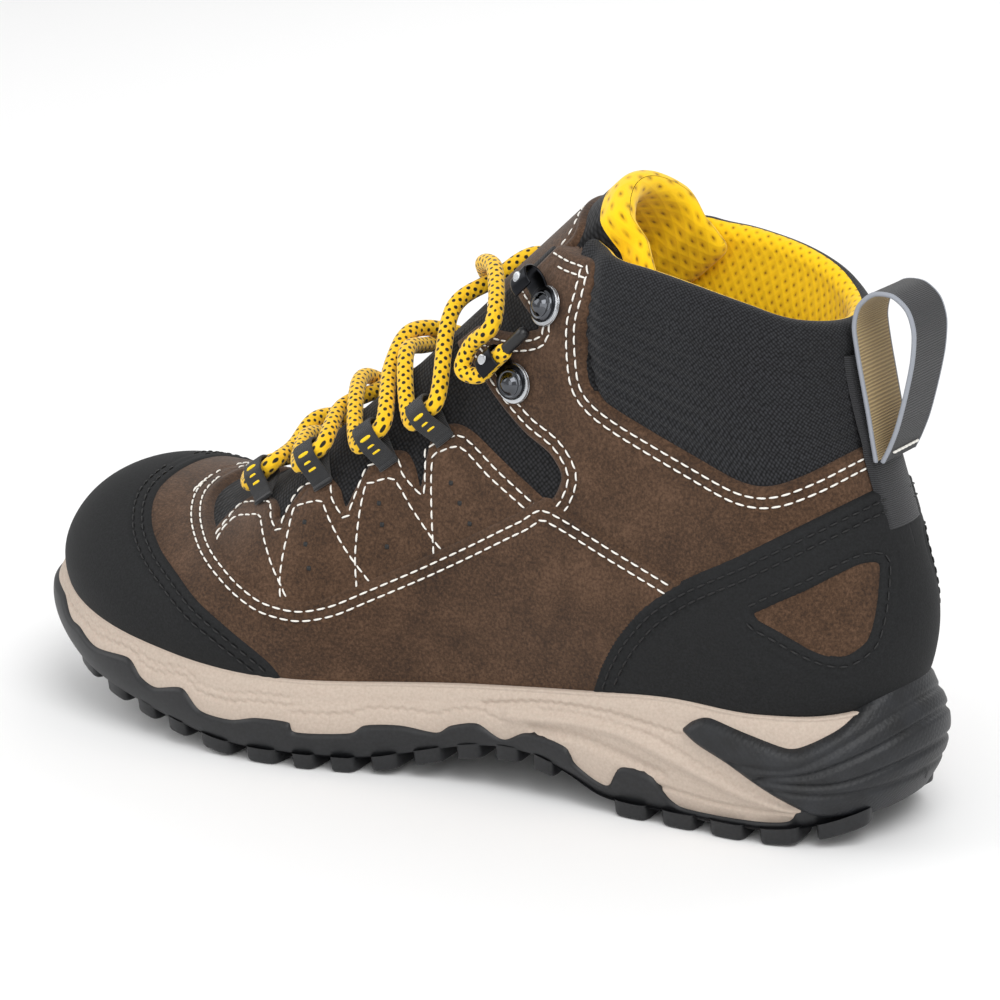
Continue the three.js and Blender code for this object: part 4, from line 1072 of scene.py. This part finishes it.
cupTurns = turns[np.cos(turns * 2 * np.pi) < -0.45]
cupT = np.linspace(0.1, 1.55, 120)
cBase, cOut = soleGrid(cupT, cupTurns)
cupX, cupZ = cBase[..., 0], cBase[..., 2]
cupLine = [(-95, 31.5), (-98, 34.4), (-103, 36), (-115, 33), (-127, 29.8), (-133, 31.5),
    (-139, 36), (-143, 41.5), (-147, 46.5), (-152, 50), (-175, 52), (-175, 12), (-152, 9),
    (-136, 9.4), (-127, 14.6), (-111, 24.0), (-100, 28.5), (-95, 31.5)]
cupD = lineDistance(cupX, cupZ, cupLine)
cupIn = insideOutline(cupX.ravel(), cupZ.ravel(), smoothLine(cupLine)).reshape(cupX.shape)
cupD = np.where(cupIn, -cupD, cupD)
cupH = edgeHeight(cupD, soleForm["cup"], drop=1.3, roll=2.0, sink=1.9)
for line, deep in (([(-120, 21.5), (-134, 24), (-147, 30.5), (-160, 40)], 1.0),
                   ([(-119, 20.5), (-138, 20.5), (-150, 24.5), (-162, 31)], 1.0),
                   ([(-108, 25), (-128, 24.8), (-141, 32.5), (-152, 42), (-160, 46)], 0.7),
                   ([(-116, 19), (-135, 17.2), (-148, 18.6), (-162, 23)], 0.8)):
    cupH -= deep * np.exp(-(lineDistance(cupX, cupZ, line) / 0.9) ** 2) * (cupD < -1)
cupPos = cBase + cOut * cupH[..., None]
cupFaces = gridFaces(*cupPos.shape[:2])
cupFaces = cupFaces[(cupD.ravel()[cupFaces] < hem).any(1)]
makeMesh("heelStabiliser", cupPos, cupFaces, "boot", gripRubber, uvOf(cupPos), ["heel_stabiliser"],
         outward=cOut)

bedX = np.linspace(-1, 1, 160)[:, None]
bedV = np.sin(np.linspace(-1, 1, 60) * np.pi / 2)[None]
bx = (149 + back(44)) / 2 - 0.5 + np.sin(bedX * np.pi / 2) * 139 + 0 * bedV
bw = [halfWidth(bx, feather(bx) + 4, s, 9.0) for s in (1, -1)]
by = middle(bx) + np.where(bedV > 0, bw[0], bw[1]) * bedV
bz = feather(bx) + 5.6 + 2.5 * np.abs(bedV) ** 5
bed = np.stack([bx, by, bz], -1)
footbedPiece = makeMesh("footbed", bed, gridFaces(*bed.shape[:2]), "footbed", blackMesh, bed[...,
    :2], ["footbed"], outward=np.broadcast_to([0, 0, 1.0], bed.shape))
thick = footbedPiece.modifiers.new("thickness", "SOLIDIFY")
thick.thickness, thick.offset = 0.0035, -1
print("sole")

# lacing hardware


def seat(x, z, side):
    # frame on the skin: normal, direction up the instep, direction to the centre line, cross
    p, n = onSkin(np.array([float(x)]), np.array([float(z)]), side, step=0.5)
    p, n = p[0], n[0]
    s = unit(along - n * (along @ n))
    u = unit(np.cross(s, n))
    u = -u if u[1] * side > 0 else u
    return {"p": p, "n": n, "s": s, "u": u, "w": np.cross(u, n)}


def addRibbon(name, points, up, width, thick, material, replaces, rounding=0.35):
    # flat strap along 3-D points: rounded rectangle section, up = direction across its width
    line = smoothLine(points, 7)
    t = unit(np.gradient(line, axis=0))
    across = unit(np.broadcast_to(up, line.shape))
    normal = unit(np.cross(t, across))
    a = np.linspace(0, 2 * np.pi, 25)
    cu, cn = squarish(a, rounding)
    pts = line[:, None] + across[:, None] * (cu * width / 2)[:, None] \
        + normal[:, None] * (cn * thick / 2)[:, None]
    pts = np.concatenate([line[:1, None] + 0 * pts[:1], pts, line[-1:, None] + 0 * pts[:1]])
    out = pts - np.concatenate([line[:1] + t[:1], line, line[-1:] - t[-1:]])[:, None]
    run = np.r_[0, np.arange(len(line)), len(line)] * 0.9
    uv = np.stack(np.broadcast_arrays(run[:, None], a * width / 3), -1)
    item = makeMesh(name, pts, gridFaces(*pts.shape[:2]), "boot", material, uv, replaces,
                    outward=out)
    closeSeams(item, 0.004)


def inFrame(f, u, n):
    return f["p"] + f["u"] * u + f["n"] * n


loopSeats = [(55, 78.6), (31, 88.4), (9.5, 97.6), (-9, 107.5)]
arc = [(7.5 + 4 * math.cos(a), 4.2 + 4 * math.sin(a))
       for a in np.linspace(-math.pi / 2, math.pi / 2, 7)]
loopProfile = [(-3, 1.1), (2, 0.9)] + arc + [(4, 7.4), (1.4, 4.4), (-0.4, 2.2), (-2.2, 0.4)]
held, blocks = {}, []
for i, (x, z) in enumerate(loopSeats):
    for side, word in bothSides:
        f = seat(x, z, side)
        addRibbon("laceLoop.%s.%d" % (word, i + 1), [inFrame(f, u, n) for u, n in loopProfile],
            f["w"], 7.0, 1.0, webbing, ["lace_loop_%s_%d" % (word, i + 1)])
        held[side, i] = inFrame(f, 7.2, 4.2)
        for u, n in ((1.6, 4.9), (3.2, 6.8), (5.4, 8.4)):
            c = inFrame(f, u, n)
            tilt = unit(f["n"] * 0.75 - f["u"] * 0.65) if u < 4 else unit(f["n"] - f["u"] * 0.2)
            blocks.append((c[None], f["w"][None], tilt[None]))
capsules("loopMarks", *gather(blocks), yellowPlain, size={"length": 4.6, "radius": 0.6})

hookSeats = [(-33, 128), (-43.5, 152)]
hookProfile = [(-3, 1.5), (5, 1.3), (8.2, 2.4), (9.4, 4.7), (8.2, 7.3), (5.2, 8.1), (2.6, 7.4)]
hookAt = {}


def lathe(name, f, shift, profile, material, replaces=()):
    # turned part on a seat: profile of radius and height above the skin
    prof = smoothLine(profile, 5)
    a = np.linspace(0, 2 * np.pi, 41)
    rad, high = prof[:, 0][:, None], prof[:, 1][:, None] + 0 * a[None]
    c = f["p"] + f["u"] * shift
    ring = (rad * np.cos(a))[..., None] * f["u"] + (rad * np.sin(a))[..., None] * f["w"]
    pts = c + ring + high[..., None] * f["n"]
    item = makeMesh(name, pts, gridFaces(*pts.shape[:2]), "boot", material, None, replaces,
                    outward=ring + f["n"] * 2 * np.sign(high - 1.0)[..., None])
    closeSeams(item, 0.003)


for i, (x, z) in enumerate(hookSeats):
    for side, word in bothSides:
        f, level = seat(x, z, side), ("lower", "upper")[i]
        hookAt[side, i] = f
        tag, cad = word + "." + level, word + "_" + level
        addRibbon("hook." + tag, [inFrame(f, u, n) for u, n in hookProfile], f["w"], 7.4, 1.1,
                  darkSteel, ["hook_" + cad], rounding=0.5)
        # the plate's edge shows light grey round the dark disc: a painted highlight
        lathe("hookPlate." + tag, f, -2.2, [(0, 0.6), (5.6, 0.6), (6.0, 0.9), (5.9, 1.4),
            (5.4, 1.6), (0, 1.6)], paintedHighlightGrey)
        lathe("hookDisc." + tag, f, -1.6, [(0, 1.2), (5.2, 1.2), (5.4, 1.6), (5.1, 2.1),
            (4.9, 2.2), (0, 2.2)], darkSteel)
        lathe("rivet." + tag, f, -2.2, [(0, 1.8), (4.3, 1.9), (4.5, 2.6), (4.0, 3.1), (3.5, 3.0),
            (3.1, 3.3), (2.2, 4.4), (1.1, 4.9), (0, 5.0)], rivetSteel, ["rivet_" + cad])
        # the tip's light grey cap is a painted highlight
        tip = {"p": inFrame(f, 6.9, 8.35), "u": f["w"], "w": f["u"],
               "n": unit(f["n"] + f["u"] * 0.35)}
        lathe("hookTip." + tag, tip, 0.0, [(0, -0.3), (1.5, -0.2), (1.7, 0.05), (1.3, 0.3),
            (0, 0.32)], paintedHighlightGrey)
print("hooks and loops")

# lace: one round cord through the loops and round the lower hooks
laceForm = {"diameter": 5.0, "crossAt": [14.5, 38.5, 62.5]}


def spot(s, y, n):
    return gapStart + along * s - inward * n + np.array([0, y, 0])


def over(s, y, h):
    # h above the skin at a place of the lace gap, found by coming down from outside
    n = 6.0
    while n > -30:
        p = spot(s, y, n)
        if halfWidth(p[0], p[2], 1 if y >= 0 else -1) >= abs(y) + 0.05 and p[2] < instep(p[0]):
            break
        n -= 0.2
    return spot(s, y, n + h)


def half(side):
    # one end's way: loop, over the tongue to the other side's next loop, and last round a hook
    points = []
    for i in range(4):
        here = side if i % 2 == 0 else -side
        c, m = held[here, i], (laceForm["crossAt"] + [0])[i]
        points += [c - along * 5.5, c, c + along * 5.5]
        if i < 3:
            points += [over(m - 3.5, here * 15, 3.4), over(m, 0, 6.6 if side > 0 else 0.9),
                       over(m + 3.5, -here * 15, 3.4)]
    f = hookAt[side, 0]
    points += [over(88, -side * 12, 3.4), over(97, 0, 6.6 if side > 0 else 0.9),
               over(107, side * 12, 3.6)]
    for u, n, s in ((14.2, 4.4, 6), (14, 5, -4), (10, 5.6, -10.4), (5.7, 4.8, -7), (5.6, 4.7, 0),
                    (5.6, 4.7, 6)):
        points.append(f["p"] + f["u"] * u + f["n"] * n + f["s"] * s)
    return points


def centripetal(points, steps):
    # centripetal Catmull-Rom curve through the points
    p = np.array(points)
    p = np.vstack([2 * p[0] - p[1], p, 2 * p[-1] - p[-2]])
    out = []
    for i in range(1, len(p) - 2):
        a, b, c, d = p[i - 1:i + 3]
        t0, t1 = 0, np.linalg.norm(b - a) ** 0.5
        t2 = t1 + np.linalg.norm(c - b) ** 0.5
        t3 = t2 + np.linalg.norm(d - c) ** 0.5
        t = np.linspace(t1, t2, steps, endpoint=False)[:, None]
        a1 = (t1 - t) / (t1 - t0) * a + (t - t0) / (t1 - t0) * b
        a2 = (t2 - t) / (t2 - t1) * b + (t - t1) / (t2 - t1) * c
        a3 = (t3 - t) / (t3 - t2) * c + (t - t2) / (t3 - t2) * d
        b1 = (t2 - t) / (t2 - t0) * a1 + (t - t0) / (t2 - t0) * a2
        b2 = (t3 - t) / (t3 - t1) * a2 + (t - t1) / (t3 - t1) * a3
        out.append((t2 - t) / (t2 - t1) * b1 + (t - t1) / (t2 - t1) * b2)
    return np.vstack(out + [p[-2:-1]])


def tube(name, line, radius, body, material, replaces=(), sides=16):
    # round tube with a frame carried along the path and domed ends; UV runs round and along
    t = unit(np.gradient(line, axis=0))
    up = np.zeros_like(t)
    ref = np.array([0.3, 0.9, 0.2])
    for i in range(len(t)):
        ref = ref - t[i] * (ref @ t[i])
        ref = ref / np.linalg.norm(ref)
        up[i] = ref
    right = np.cross(t, up)
    a = np.linspace(0, 2 * np.pi, sides + 1)
    ring = up[:, None] * np.cos(a)[:, None] + right[:, None] * np.sin(a)[:, None]
    dome = ((0, 0.7), (0.5, 0.6), (0.85, 0.35))          # radius and height, as parts of the radius
    first = [line[0] + ring[0] * radius * k - t[0] * radius * e for k, e in dome]
    final = [line[-1] + ring[-1] * radius * k + t[-1] * radius * e for k, e in dome[::-1]]
    pts = np.concatenate([first, line[:, None] + ring * radius, final])
    out = np.concatenate([np.tile(ring[0], (3, 1, 1)), ring, np.tile(ring[-1], (3, 1, 1))])
    s = runLength(line)
    s = np.r_[-2, -1.5, -0.8, s, s[-1] + [0.8, 1.5, 2]]
    uv = np.stack(np.broadcast_arrays(a * radius, s[:, None]), -1)
    item = makeMesh(name, pts, gridFaces(*pts.shape[:2]), body, material, uv, replaces, outward=out)
    closeSeams(item, 0.004)


outerHalf, innerHalf = half(1), half(-1)
route = outerHalf[::-1] + [over(-8, 15, 3.3), over(-10.5, 0, 3.2), over(-8, -15, 3.3)] + innerHalf
laceLine = centripetal(route, 12)
tube("lace", laceLine, laceForm["diameter"] / 2, "boot", braid, ["lace"], sides=20)
print("lace length mm", round(float(runLength(laceLine)[-1])))
for word, pts in (("lateral", outerHalf), ("medial", innerHalf)):
    d = unit(pts[-1] - pts[-2])
    tube("aglet." + word, np.array([pts[-1] + d * k for k in (0.4, 2, 4, 6, 8, 9.6)]), 1.9, "boot",
         hardPlastic, ["aglet_" + word])

# pull loop and the strap it grows from
loopPath = np.array([(-140.8, 112.4), (-139.6, 118), (-138.2, 125), (-136.2, 134), (-134.2, 143),
    (-132.9, 151), (-134.2, 157), (-138.6, 161), (-144.6, 161.2), (-149.4, 157.6), (-151.6, 151.5),
    (-151.4, 143), (-149.6, 133), (-147.2, 123), (-144.8, 116.4), (-143, 112.6)])
loopForm = {"width": 20.4, "faceShift": 0.62, "edgeRadius": 0.72}
loopLine = smoothLine(np.insert(loopPath, 1, middleShift, axis=1), 6)
acrossLoop = np.array([0, 1.0, 0])
innerDir = unit(np.cross(unit(np.gradient(loopLine, axis=0)), acrossLoop))
innerDir *= np.sign(((loopLine.mean(0) - loopLine) * innerDir).sum())


def bandFace(name, shift, material, replaces):
    # one face of the strap, shifted from its middle plane
    v = np.linspace(-1, 1, 15) * loopForm["width"] / 2
    pts = (loopLine + innerDir * shift)[:, None] + acrossLoop * v[:, None]
    uv = np.stack(np.broadcast_arrays(np.arange(len(loopLine))[:, None] * 1.1, v), -1)
    makeMesh(name, pts, gridFaces(*pts.shape[:2]), "pull_loop", material, uv, replaces,
             outward=np.broadcast_to((innerDir * np.sign(shift))[:, None], pts.shape))


bandFace("pullLoopOuter", -loopForm["faceShift"], webbing, ["pull_loop"])
bandFace("pullLoopInner", loopForm["faceShift"], twill, ())
for side, word in bothSides:
    tube("pullLoopEdge." + word, loopLine + acrossLoop * side * loopForm["width"] / 2,
         loopForm["edgeRadius"], "pull_loop", greyEdge, sides=10)
bar = np.stack([np.full(7, -145.5), np.linspace(-7, 7, 7) + middleShift, np.full(7, 115.2)], -1)
capsules("pullLoopBarStitch", bar, np.tile([0.0, 1, 0], (7, 1)), np.tile([-1.0, 0, 0.2], (7, 1)),
         whiteThread, body="pull_loop", size={"length": 2.3, "radius": 0.42})


def backStrap():
    # strap down the back seam: for each y and z the skin's x is found by halving
    y = np.linspace(-10.4, 10.4, 24)[None]
    z = np.linspace(92, 142, 60)[:, None]
    lo, hi = back(z) + 0 * y, back(z) + 30 + 0 * y
    side = np.where(y >= 0, 1, -1)
    for _ in range(30):
        x = (lo + hi) / 2
        short = halfWidth(x, z + 0 * y, side) < np.abs(y)
        lo, hi = np.where(short, x, lo), np.where(short, hi, x)
    base = np.stack([lo, y + middle(lo), z + 0 * y], -1)
    n = unit(np.cross(np.gradient(base, axis=1), np.gradient(base, axis=0)))
    n *= np.sign(-n[30, 12, 0])
    d = np.abs(y) - 10.0 + 0 * z
    high = 1.5 + 0.9 * ease(112, 118, z) + 0.4 * ease(140, 108, z)
    h = edgeHeight(d, 0.0) + high
    pos = base + n * h[..., None]
    makeMesh("backStrap", pos, gridFaces(*pos.shape[:2]), "boot", webbing, pos[..., [2, 1]],
             ["back_strap"], outward=n)


backStrap()
print("straps")

# floor, light, camera
scene = bpy.context.scene


def addStage():
    floorMat, _, shader = startMaterial("paleFloor", 0.9)
    shader.inputs["Base Color"].default_value = linear("#f4f4f4")
    mesh, s = bpy.data.meshes.new("studioFloor"), 4.0
    mesh.from_pydata([(-s, -s, 0), (s, -s, 0), (s, s, 0), (-s, s, 0)], [], [(0, 1, 2, 3)])
    mesh.materials.append(floorMat)
    item = bpy.data.objects.new("studioFloor", mesh)
    scene.collection.objects.link(item)


def addLight(name, place, size, power):
    # soft rectangular light aimed at the boot's middle: metres and watts
    lamp = bpy.data.lights.new(name, "AREA")
    lamp.shape, lamp.size, lamp.size_y, lamp.energy = "RECTANGLE", size[0], size[1], power
    item = bpy.data.objects.new(name, lamp)
    item.location = place
    aim = Vector((0, 0, 0.07)) - Vector(place)
    item.rotation_euler = aim.to_track_quat("-Z", "Y").to_euler()
    scene.collection.objects.link(item)


def addCamera():
    # three-quarter view from behind the outer side: azimuth 211, elevation 16
    view = {"target": (-0.01524, 0.01095, 0.083), "distance": 1.288, "lens": 153.7}
    cam = bpy.data.cameras.new("view")
    cam.lens, cam.sensor_width, cam.clip_end = view["lens"], 36, 20
    item = bpy.data.objects.new("view", cam)
    backward = Vector((-0.49509, 0.82396, 0.27564))
    item.location = Vector(view["target"]) + backward * view["distance"]
    item.rotation_euler = backward.to_track_quat("Z", "Y").to_euler()
    scene.collection.objects.link(item)
    scene.camera = item


addStage()
addCamera()
addLight("keyLight", (-0.9, 0.7, 1.5), (1.2, 1.2), 17)
addLight("fillLight", (-0.5, 1.8, 0.7), (1.6, 1.2), 9)
addLight("frontLight", (1.4, 0.6, 1.0), (1.4, 1.2), 9)
addLight("farLight", (0.1, -1.5, 1.0), (1.6, 1.0), 8)
scene.world = bpy.data.worlds.new("studio")
scene.world.use_nodes = True
sky = scene.world.node_tree.nodes["Background"].inputs
sky["Color"].default_value, sky["Strength"].default_value = (1, 1, 1, 1), 0.62
scene.view_settings.view_transform = "Standard"
print("stage set")
